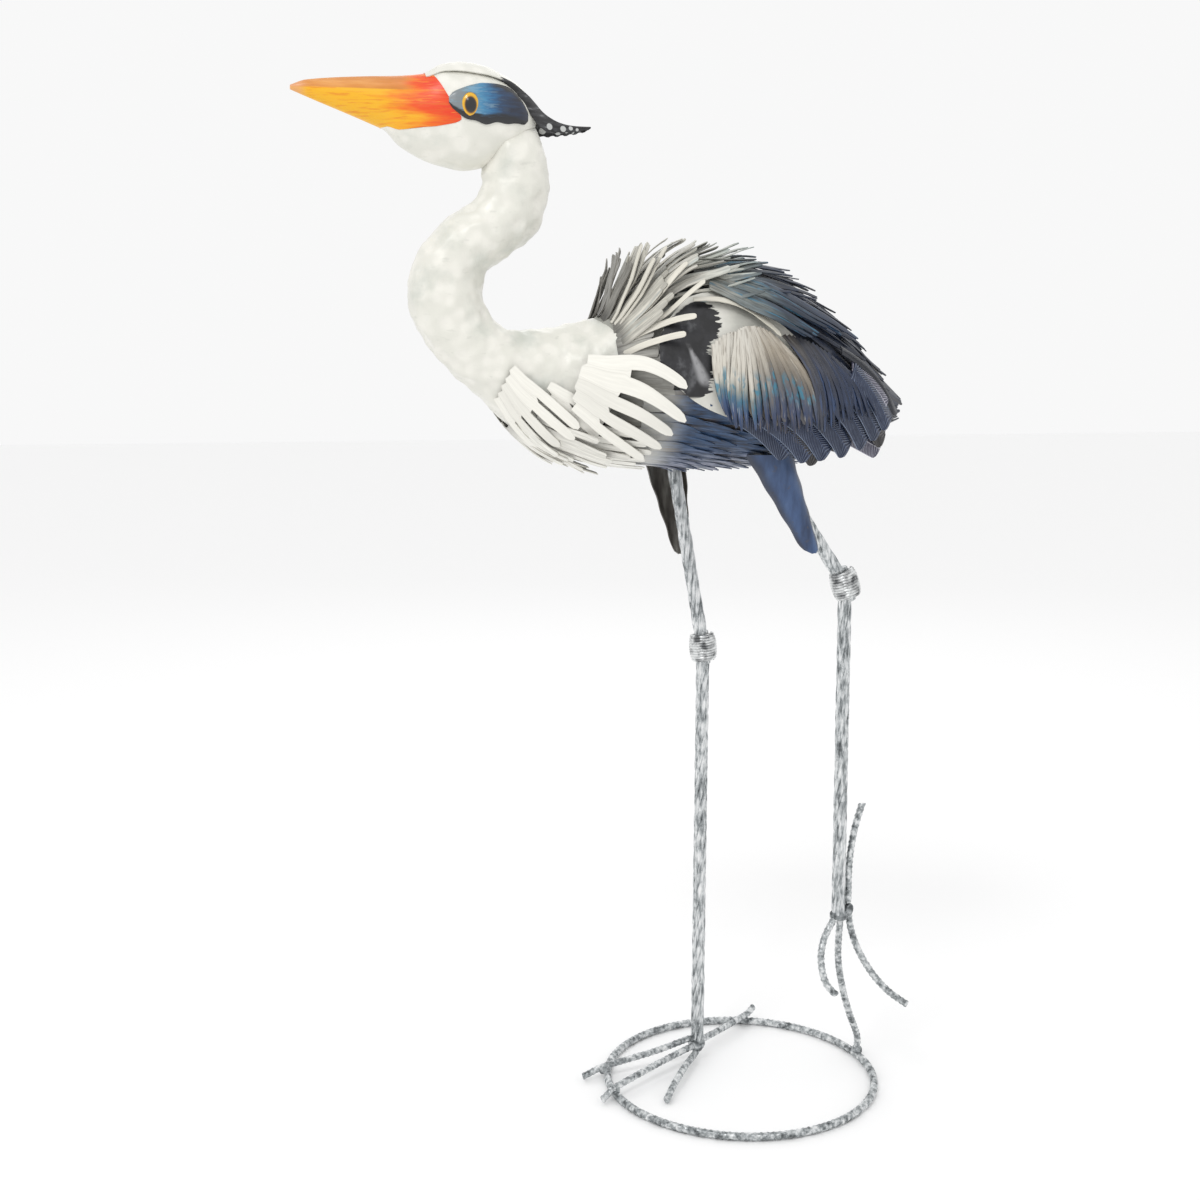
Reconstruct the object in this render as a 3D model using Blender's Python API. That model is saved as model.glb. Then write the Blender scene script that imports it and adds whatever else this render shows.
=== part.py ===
"""Garden heron of cut, bent and painted sheet metal, standing on one leg on a rod ring.

Metres, +Z up. The bird faces -X, its left side is -Y. While it is built the ring's centre is
the zero point, and at the end everything moves so that the origin is at the bottom centre.
"""
import math

import bmesh
import bpy
from mathutils import Matrix, Vector

# Sheet and clearances
SHEET = 0.0011
TOUCH = 0.0003
SLOT = 0.0008
LAYER = 0.0032
SHARP_EDGE = math.radians(40)

# Ground ring, a bent rod with a flat underside
RING_RADIUS = 0.1352
RING_ROD = 0.0076
RING_STEPS = 28
RING_SIDES = 8

# Legs: twisted rods with a wound ball at each knee
LEG_ROD = 0.0136
LEG_GROOVE = 0.0010
LEG_STRANDS = 3
LEG_TWIST_PITCH = 0.150
LEG_STEP = 0.0240
KNEE_DIAMETER = 0.0285
KNEE_HEIGHT = 0.0300
KNEE_TURNS = 5
KNEE_GROOVE = 0.0011
KNEE_SWELL = 1.55
KNEE_SIDES = 10
# the hips' height carries the knees and everything above them
HIP_HEIGHT = 0.6300
STANDING_FOOT = Vector((-0.0280, 0.0540, 0.0125))
STANDING_KNEE = Vector((-0.0256, 0.0540, HIP_HEIGHT - 0.1920))
STANDING_HIP = Vector((-0.0610, 0.0500, HIP_HEIGHT))
LIFTED_FOOT = Vector((0.0852, -0.0437, 0.1800))
LIFTED_KNEE = Vector((0.0848, -0.0437, HIP_HEIGHT - 0.1191))
LIFTED_HIP = Vector((0.0030, -0.0437, HIP_HEIGHT))

# Toes: bent rods
TOE_ROD = 0.0068
TOE_STEP = 0.026
# height of a toe that crosses over the ring
CROSSING = RING_ROD + TOE_ROD / 2 + 2 * TOUCH
# heading in degrees about the foot, then bends along the toe: share of the way to the ring,
# distance past that, height of the rod's middle
STANDING_TOES = {
    "standing_toe_inner": (
        189.5,
        (
            (0.10, 0.0, 0.0235),
            (0.48, 0.0, 0.0170),
            (1.0, 0.0025, CROSSING),
            (1.0, 0.0145, 0.0088),
            (1.0, 0.0275, 0.0048),
        ),
    ),
    "standing_toe_middle": (
        212.0,
        (
            (0.085, 0.0, 0.0160),
            (0.48, 0.0, 0.0150),
            (1.0, 0.0, CROSSING),
            (1.0, 0.0115, 0.0082),
            (1.0, 0.0205, 0.0050),
        ),
    ),
    "standing_toe_outer": (
        236.0,
        (
            (0.0, 0.0, 0.0086),
            (0.13, 0.0, 0.0092),
            (0.29, 0.0, 0.0105),
            (0.55, 0.0, 0.0088),
            (0.73, 0.0, 0.0040),
        ),
    ),
    "standing_toe_hind": (
        40.0,
        (
            (0.10, 0.0, 0.0175),
            (0.46, 0.0, 0.0150),
            (0.915, 0.0, 0.0130),
            (1.0, 0.0018, 0.0140),
            (1.0, 0.0108, 0.0165),
        ),
    ),
}
# bends of the lifted foot's toes, measured from the end of the shank; the middle toe goes on
# from there to its weld on top of the ring
LIFTED_TOES = {
    "lifted_toe_inner": (
        (-0.0047, -0.0010, -0.0039),
        (-0.0170, -0.0075, -0.0190),
        (-0.0235, -0.0143, -0.0345),
        (-0.0238, -0.0193, -0.0499),
        (-0.0203, -0.0233, -0.0627),
        (-0.0123, -0.0263, -0.0716),
    ),
    "lifted_toe_middle": (
        (0.0029, 0.0010, -0.0039),
        (0.0043, 0.0077, -0.0447),
        (0.0153, 0.0217, -0.0823),
        (0.0309, 0.0377, -0.1197),
        (0.0478, 0.0527, -0.1539),
    ),
    "lifted_toe_outer": (
        (0.0116, 0.0000, 0.0005),
        (0.0130, -0.0003, -0.0125),
        (0.0198, -0.0033, -0.0349),
        (0.0338, -0.0073, -0.0603),
        (0.0509, -0.0113, -0.0805),
        (0.0707, -0.0143, -0.0956),
    ),
    "lifted_toe_hind": (
        (0.0109, 0.0010, 0.0110),
        (0.0112, 0.0007, 0.0534),
        (0.0164, 0.0017, 0.0858),
        (0.0249, 0.0037, 0.1109),
    ),
}

WELD_HEADING = math.radians(5.8)
WELD_POINT = Vector(
    (
        RING_RADIUS * math.cos(WELD_HEADING),
        RING_RADIUS * math.sin(WELD_HEADING),
        RING_ROD + TOE_ROD / 4 + TOUCH,
    )
)

# Thigh plates: rolled cones on the outer side of each leg
THIGH_RISE = 0.0070
LEFT_THIGH_DROP = 0.0860
RIGHT_THIGH_DROP = 0.0990
LEFT_THIGH_TOP = Vector((0.0030, -0.0437, HIP_HEIGHT + THIGH_RISE))
LEFT_THIGH_TIP = Vector((0.0440, -0.0560, HIP_HEIGHT - LEFT_THIGH_DROP))
RIGHT_THIGH_TOP = Vector((-0.0690, 0.0500, HIP_HEIGHT + THIGH_RISE))
RIGHT_THIGH_TIP = Vector((-0.0440, 0.0660, HIP_HEIGHT - RIGHT_THIGH_DROP))
THIGH_TOP_RADIUS = 0.0230
THIGH_TIP_RADIUS = 0.0075
THIGH_WRAP = math.radians(165)

# Body and breast: x, top, bottom, half width of the shell, read from the front to the tail
SHELL = (
    (-0.2500, 0.1320, 0.0480, 0.0360),
    (-0.2275, 0.1230, 0.0260, 0.0390),
    (-0.2000, 0.1240, 0.0120, 0.0450),
    (-0.1750, 0.1290, 0.0060, 0.0510),
    (-0.1550, 0.1340, 0.0020, 0.0560),
    (-0.1200, 0.1560, 0.0000, 0.0700),
    (-0.0700, 0.1760, 0.0000, 0.0830),
    (-0.0200, 0.1760, 0.0020, 0.0860),
    (0.0300, 0.1600, 0.0060, 0.0780),
    (0.0800, 0.1270, 0.0130, 0.0600),
    (0.1200, 0.0860, 0.0260, 0.0330),
    (0.1500, 0.0580, 0.0400, 0.0080),
)
RIM_X = -0.1550
BODY_END_X = 0.1460
BODY_STEPS = 11
BODY_SIDES = 14
RIM_STEP = 0.0025

# Neck above the breast: front and back outline points, half width, from the breast up
NECK_RINGS = (
    (-0.2665, 0.0615, -0.2340, 0.1230, 0.0360),
    (-0.2885, 0.0810, -0.2390, 0.1240, 0.0345),
    (-0.3075, 0.1015, -0.2470, 0.1300, 0.0335),
    (-0.3225, 0.1290, -0.2560, 0.1450, 0.0325),
    (-0.3270, 0.1600, -0.2585, 0.1590, 0.0320),
    (-0.3165, 0.1940, -0.2520, 0.1735, 0.0318),
    (-0.2900, 0.2215, -0.2300, 0.1880, 0.0315),
    (-0.2680, 0.2355, -0.2070, 0.2090, 0.0310),
    (-0.2590, 0.2500, -0.1965, 0.2400, 0.0305),
    (-0.2585, 0.2600, -0.1960, 0.2680, 0.0300),
    (-0.2550, 0.2750, -0.2010, 0.2870, 0.0280),
    (-0.2500, 0.2860, -0.2075, 0.3010, 0.0220),
)
NECK_SIDES = 12

# Head: x, top, bottom, half width, from the beak's tip to the nape
HEAD_SHELL = (
    (-0.4260, 0.3295, 0.3260, 0.0020),
    (-0.4120, 0.3345, 0.3205, 0.0050),
    (-0.3566, 0.3397, 0.2995, 0.0135),
    (-0.3450, 0.3403, 0.2945, 0.0155),
    (-0.3330, 0.3410, 0.2820, 0.0185),
    (-0.3180, 0.3425, 0.2730, 0.0220),
    (-0.3080, 0.3440, 0.2685, 0.0245),
    (-0.2935, 0.3505, 0.2645, 0.0275),
    (-0.2750, 0.3525, 0.2615, 0.0300),
    (-0.2580, 0.3505, 0.2645, 0.0308),
    (-0.2422, 0.3445, 0.2730, 0.0300),
    (-0.2280, 0.3365, 0.2810, 0.0270),
    (-0.2150, 0.3230, 0.2930, 0.0200),
    (-0.2090, 0.3130, 0.3010, 0.0110),
)
HEAD_SIDES = 14
BEAK_STEPS = 6
HEAD_STEPS = 8
BEAK_TIP_X = -0.4260
NAPE_X = -0.2100
# where the beak meets the head: at its top, at the side corner and at the chin
BEAK_TOP_X = -0.3080
BEAK_CORNER_X = -0.2812
BEAK_CHIN_X = -0.3450
BEAK_CORNER_ANGLE = math.radians(98)
INNER_GAP = 0.0120

# Crown cap, crest plumes and eyes
CROWN_FRONT_X = -0.3020
CROWN_REAR_X = -0.2260
CROWN_ANGLE = math.radians(38)
CROWN_LIFT = 0.0034
# x, upper edge, lower edge, distance from the middle of the head
CREST = (
    (-0.2330, 0.3375, 0.3315, 0.0210),
    (-0.2177, 0.3270, 0.3160, 0.0228),
    (-0.2085, 0.3190, 0.3040, 0.0200),
    (-0.1974, 0.3106, 0.2975, 0.0140),
    (-0.1779, 0.3050, 0.2981, 0.0090),
    (-0.1572, 0.3038, 0.3022, 0.0065),
)
CREST_LEAN = 0.25
EYE_X = -0.2730
EYE_LEVEL = 0.152
EYE_LENGTH = 0.0160
EYE_HEIGHT = 0.0210
EYE_PROUD = 0.0035
EYE_SIDES = 8

# Wing: x, half width of the hanging wing surface
WING_PLAN = (
    (-0.1400, 0.0640),
    (-0.1000, 0.0790),
    (-0.0500, 0.0880),
    (0.0000, 0.0880),
    (0.0500, 0.0770),
    (0.1000, 0.0530),
    (0.1400, 0.0290),
    (0.1650, 0.0150),
)
WING_MIDDLE_FRONT = 0.0880
WING_MIDDLE_REAR = 0.0450
WING_BEND_ABOVE = 5.0
WING_BEND_BELOW = 2.6

# Combs that lie across the back, on both sides: x of the roots, x of the tips on top and at
# the sides, lift of roots and of tips, widest angle from the top of the back at roots and tips,
# count of fingers, widths at root and tip, how much more upright the right side's tips stand
BACK_COMBS = {
    "collar_comb_front": (
        (-0.1520, -0.1270, -0.0930), (0.0020, 0.0415), (76, 66), 12, (0.0078, 0.0062), 0.010,
    ),
    "collar_comb_middle": (
        (-0.1350, -0.0980, -0.0820), (0.0020, 0.0400), (72, 62), 11, (0.0085, 0.0064), 0.008,
    ),
    "collar_comb_rear": (
        (-0.1100, -0.0600, -0.0650), (0.0020, 0.0320), (52, 54), 9, (0.0090, 0.0064), 0.006,
    ),
    "back_comb_front": (
        (-0.0820, 0.0040, -0.0150), (0.0020, 0.0150), (40, 44), 9, (0.0090, 0.0050), 0.0,
    ),
    "back_comb_middle": (
        (-0.0450, 0.0460, 0.0350), (0.0020, 0.0150), (42, 46), 8, (0.0090, 0.0048), 0.0,
    ),
    "back_comb_rear": (
        (-0.0060, 0.0880, 0.0780), (0.0018, 0.0110), (40, 50), 8, (0.0090, 0.0045), 0.0,
    ),
    "rump_comb": (
        (0.0370, 0.1300, 0.1220), (0.0015, 0.0050), (40, 62), 7, (0.0085, 0.0045), 0.0,
    ),
}
SIDE_LIFT_SHARE = 0.60
UPRIGHT_FORWARD = 1.5
UPRIGHT_CLOSING = 8.0

# Keel and belly combs: x of roots and tips, lifts, angles of the fingers from the back, and
# angles where the comb has only its band, to leave room for a leg
BELLY_COMBS = {
    "throat_comb": (-0.2250, -0.1620, 0.0036, 0.0090, (146, 163, 180, 197, 214), ()),
    "keel_comb": (-0.1780, -0.1060, 0.0030, 0.0060, (152, 166, 180, 194, 208), ()),
    "belly_comb_front": (
        -0.1300, -0.0500, 0.0020, 0.0095, (118, 128, 162, 174, 186, 198, 232, 242), (145, 215),
    ),
    "belly_comb_middle": (
        -0.0860, -0.0040, 0.0020, 0.0105, (118, 128, 162, 174, 186, 198, 232, 242), (145, 215),
    ),
    "belly_comb_rear": (
        -0.0380, 0.0420, 0.0020, 0.0110, (118, 162, 174, 186, 198, 242), (132, 147, 213, 228),
    ),
}
BELLY_WIDTH = 0.0090

# Breast plates, one of each on either side: root and tip ends as (x, angle), count, lifts
BREAST_PLATES = {
    "breast_plate_front": (
        ((-0.2480, 92), (-0.2420, 138)), ((-0.1700, 118), (-0.1950, 140)), 5, (0.0040, 0.0100),
    ),
    "breast_plate_middle": (
        ((-0.2080, 92), (-0.2060, 104)), ((-0.1560, 110), (-0.1560, 122)), 2, (0.0032, 0.0060),
    ),
    "breast_plate_rear": (
        ((-0.1820, 82), (-0.1830, 108)), ((-0.0930, 98), (-0.1300, 143)), 5, (0.0130, 0.0165),
    ),
}

# Wing pieces, one of each on either side: first and last root as (x, z), first and last tip,
# count, layer, width at the root, width before the tip
WING_COMBS = {
    "tail_comb": (
        ((0.0880, 0.0760), (0.0660, 0.0440)),
        ((0.1500, 0.0400), (0.0980, -0.0040)),
        5, 0.5, (0.0100, 0.0150),
    ),
    "primary_comb": (
        ((0.0560, 0.0900), (-0.0080, 0.0600)),
        ((0.1340, 0.0280), (0.0180, -0.0030)),
        7, 2, (0.0125, 0.0172),
    ),
    "covert_fan_rear": (
        ((0.0560, 0.1220), (0.0120, 0.1260)),
        ((0.1100, 0.0300), (0.0400, 0.0230)),
        7, 3, (0.0070, 0.0090),
    ),
    "covert_fan_middle": (
        ((-0.0020, 0.1240), (-0.0430, 0.1200)),
        ((0.0350, 0.0280), (-0.0200, 0.0280)),
        7, 4, (0.0062, 0.0075),
    ),
    "covert_fan_front": (
        ((-0.0420, 0.1200), (-0.0620, 0.1080)),
        ((-0.0230, 0.0300), (-0.0560, 0.0460)),
        4, 5, (0.0066, 0.0088),
    ),
}
# the pieces lie closer together at their roots than at their tips
ROOT_LIFT_SHARE = 0.70
# fingers wider than this are round-ended paddles, narrower ones run out to a point
PADDLE_WIDTH = 0.0120
# shoulder plate: x, lower edge, upper edge
SHOULDER_PLATE = (
    (-0.1120, 0.0650, 0.0850),
    (-0.0950, 0.0480, 0.1180),
    (-0.0750, 0.0420, 0.1360),
    (-0.0500, 0.0400, 0.1360),
    (-0.0250, 0.0500, 0.1300),
)

PAINTS = {
    "cream": ((0.80, 0.79, 0.74, 1.0), 0.45, 0.1),
    "stone": ((0.62, 0.66, 0.63, 1.0), 0.45, 0.1),
    "navy": ((0.05, 0.08, 0.15, 1.0), 0.45, 0.2),
    "blue": ((0.06, 0.12, 0.24, 1.0), 0.45, 0.2),
    "grey": ((0.35, 0.36, 0.37, 1.0), 0.5, 0.2),
    "black": ((0.02, 0.02, 0.02, 1.0), 0.4, 0.2),
    "orange": ((0.85, 0.25, 0.02, 1.0), 0.35, 0.0),
    "yellow": ((0.80, 0.50, 0.02, 1.0), 0.25, 0.0),
    "steel": ((0.40, 0.42, 0.43, 1.0), 0.4, 0.9),
}

PIECES = []


def clear_scene():
    for old in list(bpy.data.objects):
        bpy.data.objects.remove(old)


def paint(name):
    material = bpy.data.materials.get(name)
    if material is None:
        colour, roughness, metallic = PAINTS[name]
        material = bpy.data.materials.new(name)
        material.use_nodes = True
        shader = material.node_tree.nodes["Principled BSDF"]
        shader.inputs["Base Color"].default_value = colour
        shader.inputs["Roughness"].default_value = roughness
        shader.inputs["Metallic"].default_value = metallic
    return material


def finish_piece(name, bm, paint_name):
    """Turns a bmesh into a named, smooth-shaded object."""
    mesh = bpy.data.meshes.new(name)
    bm.to_mesh(mesh)
    bm.free()
    mesh.materials.append(paint(paint_name))
    mesh.shade_smooth()
    mesh.set_sharp_from_angle(angle=SHARP_EDGE)
    piece = bpy.data.objects.new(name, mesh)
    bpy.context.collection.objects.link(piece)
    PIECES.append(piece)
    return piece


def thicken(piece, thickness=SHEET):
    """Gives a plate its sheet thickness, half to either side. Both skins get the same triangles."""
    bm = bmesh.new()
    bm.from_mesh(piece.data)
    bmesh.ops.triangulate(bm, faces=bm.faces)
    bm.to_mesh(piece.data)
    bm.free()
    solid = piece.modifiers.new("sheet", "SOLIDIFY")
    solid.thickness = thickness
    solid.offset = 0.0
    return piece


def stations(rows, x):
    """Smooth values between the stations of a table, straight beyond its ends."""
    count = len(rows)
    last = count - 2
    i = 0
    while i < last and x > rows[i + 1][0]:
        i += 1
    x0, x1 = rows[i][0], rows[i + 1][0]
    step = x1 - x0
    t = (x - x0) / step
    values = []
    for column in range(1, len(rows[0])):
        secants = [
            (rows[k + 1][column] - rows[k][column]) / (rows[k + 1][0] - rows[k][0])
            for k in range(count - 1)
        ]
        slope0 = station_slope(secants, i)
        slope1 = station_slope(secants, i + 1)
        a, b = rows[i][column], rows[i + 1][column]
        if t < 0:
            values.append(a + slope0 * (x - x0))
        elif t > 1:
            values.append(b + slope1 * (x - x1))
        else:
            s = t * t
            c = s * t
            values.append(
                a * (2 * c - 3 * s + 1) + b * (3 * s - 2 * c)
                + step * (slope0 * (c - 2 * s + t) + slope1 * (c - s))
            )
    return values


def station_slope(secants, k):
    if k == 0:
        return secants[0]
    if k == len(secants):
        return secants[-1]
    before, after = secants[k - 1], secants[k]
    if before * after <= 0:
        return 0.0
    return 2 * before * after / (before + after)


def shell_point(x, angle, lift):
    """A point over the body and breast: angle 0 on top, growing towards the bird's left."""
    top, bottom, half = stations(SHELL, x)
    middle = (top + bottom) / 2
    height = (top - bottom) / 2
    sine, cosine = math.sin(angle), math.cos(angle)
    ahead = stations(SHELL, x + 0.004)
    slope = Vector(
        (
            0.004,
            -(ahead[2] - half) * sine,
            (ahead[0] + ahead[1]) / 2 - middle + ((ahead[0] - ahead[1]) / 2 - height) * cosine,
        )
    )
    round_way = Vector((0.0, -half * cosine, -height * sine))
    normal = round_way.cross(slope).normalized()
    return Vector((x, -half * sine, HIP_HEIGHT + middle + height * cosine)) + normal * lift


def wing_point(x, z, lift):
    """A point on the bird's left wing surface, which hangs from the shoulder."""
    half = stations(WING_PLAN, x)[0]
    share = (x - WING_PLAN[0][0]) / (WING_PLAN[-1][0] - WING_PLAN[0][0])
    drop = z - (WING_MIDDLE_FRONT + (WING_MIDDLE_REAR - WING_MIDDLE_FRONT) * share)
    bend = WING_BEND_ABOVE if drop > 0 else WING_BEND_BELOW
    widening = (stations(WING_PLAN, x + 0.004)[0] - half) / 0.004
    normal = Vector((-widening, -1.0, 2 * bend * drop)).normalized()
    return Vector((x, -(half - bend * drop * drop), HIP_HEIGHT + z)) + normal * lift


def comb_plate(name, guide, fingers, rows, paint_name, uncut=()):
    """A plate cut into fingers that lies on a guide surface.

    Each finger is (root, tip, root lift, tip lift) with root and tip on the guide. Each row is
    (share of the length, half width, share of the lift), and the first two rows are joined
    from finger to finger, as the uncut band of the plate. Fingers listed in uncut are band only.
    A finger is as wide as its row says where its neighbours leave it that much room.
    """
    bm = bmesh.new()
    edges = []
    for number, (root, tip, root_lift, tip_lift) in enumerate(fingers):
        line = []
        beside = fingers[number + 1] if number + 1 < len(fingers) else fingers[number - 1]
        for share, half, rise in rows[:2] if number in uncut else rows:
            lift = root_lift + (tip_lift - root_lift) * rise
            spot = finger_spot(guide, root, tip, share, lift)
            ahead = finger_spot(guide, root, tip, share + 0.02, lift)
            above = finger_spot(guide, root, tip, share, lift + 0.001)
            side = (ahead - spot).cross(above - spot).normalized()
            pitch = abs((finger_spot(guide, beside[0], beside[1], share, lift) - spot).dot(side))
            across = side * min(half, (pitch - SLOT) / 2)
            line.append((bm.verts.new(spot - across), bm.verts.new(spot + across)))
        edges.append(line)
    for line in edges:
        for near, far in zip(line, line[1:]):
            bm.faces.new((near[0], far[0], far[1], near[1]))
    for line, following in zip(edges, edges[1:]):
        bm.faces.new((line[0][1], line[1][1], following[1][0], following[0][0]))
    bmesh.ops.recalc_face_normals(bm, faces=bm.faces)
    return thicken(finish_piece(name, bm, paint_name))


def finger_spot(guide, root, tip, share, lift):
    u = root[0] + (tip[0] - root[0]) * share
    v = root[1] + (tip[1] - root[1]) * share
    return guide(u, v, lift)


def mirrored(guide):
    """The same guide on the bird's right side."""
    def right_side(u, v, lift):
        point = guide(u, v, lift)
        return Vector((point.x, -point.y, point.z))
    return right_side


def loft(bm, rings, close_start=True, close_end=True):
    """Skins closed rings of points, with a centre fan on each open end."""
    skins = [[bm.verts.new(point) for point in ring] for ring in rings]
    for near, far in zip(skins, skins[1:]):
        count = len(near)
        for k in range(count):
            after = (k + 1) % count
            bm.faces.new((near[k], near[after], far[after], far[k]))
    if close_start:
        bm.faces.new(list(reversed(skins[0])))
    if close_end:
        bm.faces.new(skins[-1])
    bmesh.ops.recalc_face_normals(bm, faces=bm.faces)


def ground_ring():
    """The rod ring that everything stands on: a flat-bottomed section spun round."""
    bm = bmesh.new()
    corner = RING_ROD / 2 / math.cos(math.pi / RING_SIDES)
    section = []
    for k in range(RING_SIDES):
        turn = 2 * math.pi * (k + 0.5) / RING_SIDES
        across = RING_RADIUS + corner * math.cos(turn)
        section.append(bm.verts.new((across, 0.0, RING_ROD / 2 + corner * math.sin(turn))))
    loop = [bm.edges.new((section[k], section[(k + 1) % RING_SIDES])) for k in range(RING_SIDES)]
    bmesh.ops.spin(
        bm,
        geom=section + loop,
        cent=(0, 0, 0),
        axis=(0, 0, 1),
        angle=2 * math.pi,
        steps=RING_STEPS,
        use_merge=True,
    )
    bmesh.ops.remove_doubles(bm, verts=bm.verts, dist=0.00005)
    bmesh.ops.recalc_face_normals(bm, faces=bm.faces)
    finish_piece("ground_ring", bm, "steel")


def smooth_route(points, step):
    """Points along a smooth curve through the given bends, about one step apart."""
    route = []
    count = len(points)
    for i in range(count - 1):
        before = points[max(i - 1, 0)]
        start, end = points[i], points[i + 1]
        after = points[min(i + 2, count - 1)]
        pieces = max(1, round((end - start).length / step))
        for k in range(pieces):
            t = k / pieces
            route.append(
                0.5
                * (
                    2 * start
                    + (end - before) * t
                    + (2 * before - 5 * start + 4 * end - after) * t * t
                    + (3 * start - before - 3 * end + after) * t * t * t
                )
            )
    route.append(points[-1])
    return route


def bent_rod(name, points, diameter):
    """A round rod along a route, with closed ends."""
    curve = bpy.data.curves.new(name, "CURVE")
    curve.dimensions = "3D"
    curve.bevel_depth = diameter / 2
    curve.bevel_resolution = 1
    curve.use_fill_caps = True
    curve.materials.append(paint("steel"))
    spline = curve.splines.new("POLY")
    spline.points.add(len(points) - 1)
    for slot, point in zip(spline.points, points):
        slot.co = (*point, 1.0)
    rod = bpy.data.objects.new(name, curve)
    bpy.context.collection.objects.link(rod)
    PIECES.append(rod)


def toes():
    """Four toes on each foot. Those of the standing foot cross the ring and droop past it."""
    start = Vector((STANDING_FOOT.x, STANDING_FOOT.y, 0.0))
    for name, (heading, bends) in STANDING_TOES.items():
        way = Vector((math.cos(math.radians(heading)), math.sin(math.radians(heading)), 0.0))
        along = start.dot(way)
        reach = math.sqrt(along ** 2 - start.length_squared + RING_RADIUS ** 2) - along
        points = []
        for share, past, height in bends:
            points.append(start + way * (reach * share + past) + Vector((0, 0, height)))
        bent_rod(name, smooth_route(points, TOE_STEP), TOE_ROD)
    for name, bends in LIFTED_TOES.items():
        points = [LIFTED_FOOT + Vector(bend) for bend in bends]
        if name == "lifted_toe_middle":
            points.append(WELD_POINT)
        bent_rod(name, smooth_route(points, TOE_STEP), TOE_ROD)


def twisted_rod(name, low, high):
    """A rod of strands twisted round each other: a lobed section wound up its length."""
    length = (high - low).length
    steps = max(2, round(length / LEG_STEP))
    lobes = 2 * LEG_STRANDS
    bm = bmesh.new()
    section = []
    for k in range(lobes):
        radius = LEG_ROD / 2 if k % 2 == 0 else LEG_ROD / 2 - LEG_GROOVE
        turn = 2 * math.pi * k / lobes
        section.append(bm.verts.new((radius * math.cos(turn), radius * math.sin(turn), 0.0)))
    loop = [bm.edges.new((section[k], section[(k + 1) % lobes])) for k in range(lobes)]
    wound = bmesh.ops.spin(
        bm,
        geom=section + loop,
        cent=(0, 0, 0),
        axis=(0, 0, 1),
        dvec=(0, 0, length / steps),
        angle=2 * math.pi * length / LEG_TWIST_PITCH,
        steps=steps,
    )
    bm.faces.new(section)
    bm.faces.new([item for item in wound["geom_last"] if isinstance(item, bmesh.types.BMVert)])
    bmesh.ops.recalc_face_normals(bm, faces=bm.faces)
    lean = Vector((0, 0, 1)).rotation_difference(high - low)
    bmesh.ops.transform(bm, matrix=Matrix.Translation(low) @ lean.to_matrix().to_4x4(), verts=bm.verts)
    finish_piece(name, bm, "steel")


def knee_coil(name, middle, up):
    """A ball of wound wire: a ribbed barrel round the leg's line."""
    bm = bmesh.new()
    profile = []
    turns = 2 * KNEE_TURNS
    for k in range(turns + 1):
        height = KNEE_HEIGHT * (k / turns - 0.5)
        swell = math.sqrt(1 - (KNEE_SWELL * height / KNEE_HEIGHT) ** 2)
        radius = KNEE_DIAMETER / 2 * swell - (KNEE_GROOVE if k % 2 == 0 else 0.0)
        profile.append((radius, height))
    rings = []
    for radius, height in profile:
        ring = []
        for k in range(KNEE_SIDES):
            turn = 2 * math.pi * k / KNEE_SIDES
            ring.append(Vector((radius * math.cos(turn), radius * math.sin(turn), height)))
        rings.append(ring)
    loft(bm, rings)
    lean = Vector((0, 0, 1)).rotation_difference(up)
    bmesh.ops.transform(bm, matrix=Matrix.Translation(middle) @ lean.to_matrix().to_4x4(), verts=bm.verts)
    finish_piece(name, bm, "steel")


def leg(side, foot, knee, hip):
    """Shank, wound knee and upper leg, end to end."""
    shank_way = (knee - foot).normalized()
    thigh_way = (hip - knee).normalized()
    axis = (shank_way + thigh_way).normalized()
    reach = KNEE_HEIGHT / 2 + TOUCH
    lean = LEG_ROD / 2 * math.tan(shank_way.angle(axis))
    twisted_rod(side + "_shank", foot, knee - shank_way * (reach + lean))
    knee_coil(side + "_knee_coil", knee, axis)
    twisted_rod(side + "_upper_leg", knee + thigh_way * (reach + lean), hip)


def thigh_plate(name, top, tip, outward):
    """A half cone of sheet that wraps the outer side of the thigh and ends in a round tip."""
    rows = 5
    columns = 4
    bm = bmesh.new()
    grid = []
    for i in range(rows + 1):
        share = i / rows
        middle = top.lerp(tip, share)
        radius = THIGH_TOP_RADIUS + (THIGH_TIP_RADIUS - THIGH_TOP_RADIUS) * share
        if i == rows:
            radius = THIGH_TIP_RADIUS / 2
        line = []
        for k in range(columns + 1):
            turn = THIGH_WRAP * (k / columns - 0.5)
            across = Vector((radius * math.sin(turn), outward * radius * math.cos(turn), 0))
            line.append(bm.verts.new(middle + across))
        grid.append(line)
    for near, far in zip(grid, grid[1:]):
        for k in range(columns):
            bm.faces.new((near[k], near[k + 1], far[k + 1], far[k]))
    bmesh.ops.recalc_face_normals(bm, faces=bm.faces)
    thicken(finish_piece(name, bm, "blue"))


def shell_ring(x, lift, sides):
    return [shell_point(x, 2 * math.pi * k / sides, lift) for k in range(sides)]


def body_shell():
    """The body under the feathers, from behind the neck's rim to the tail."""
    start = RIM_X + TOUCH
    rings = []
    for k in range(BODY_STEPS + 1):
        x = start + (BODY_END_X - start) * k / BODY_STEPS
        rings.append([Vector((x, point.y, point.z)) for point in shell_ring(x, -RIM_STEP, BODY_SIDES)])
    bm = bmesh.new()
    loft(bm, rings)
    finish_piece("body_shell", bm, "grey")


def neck_ring(front_x, front_z, back_x, back_z, half):
    front = Vector((front_x, 0, HIP_HEIGHT + front_z))
    back = Vector((back_x, 0, HIP_HEIGHT + back_z))
    middle = (front + back) / 2
    reach = (back - front) / 2
    return [
        middle + reach * math.cos(2 * math.pi * k / NECK_SIDES)
        + Vector((0, -half * math.sin(2 * math.pi * k / NECK_SIDES), 0))
        for k in range(NECK_SIDES)
    ]


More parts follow.
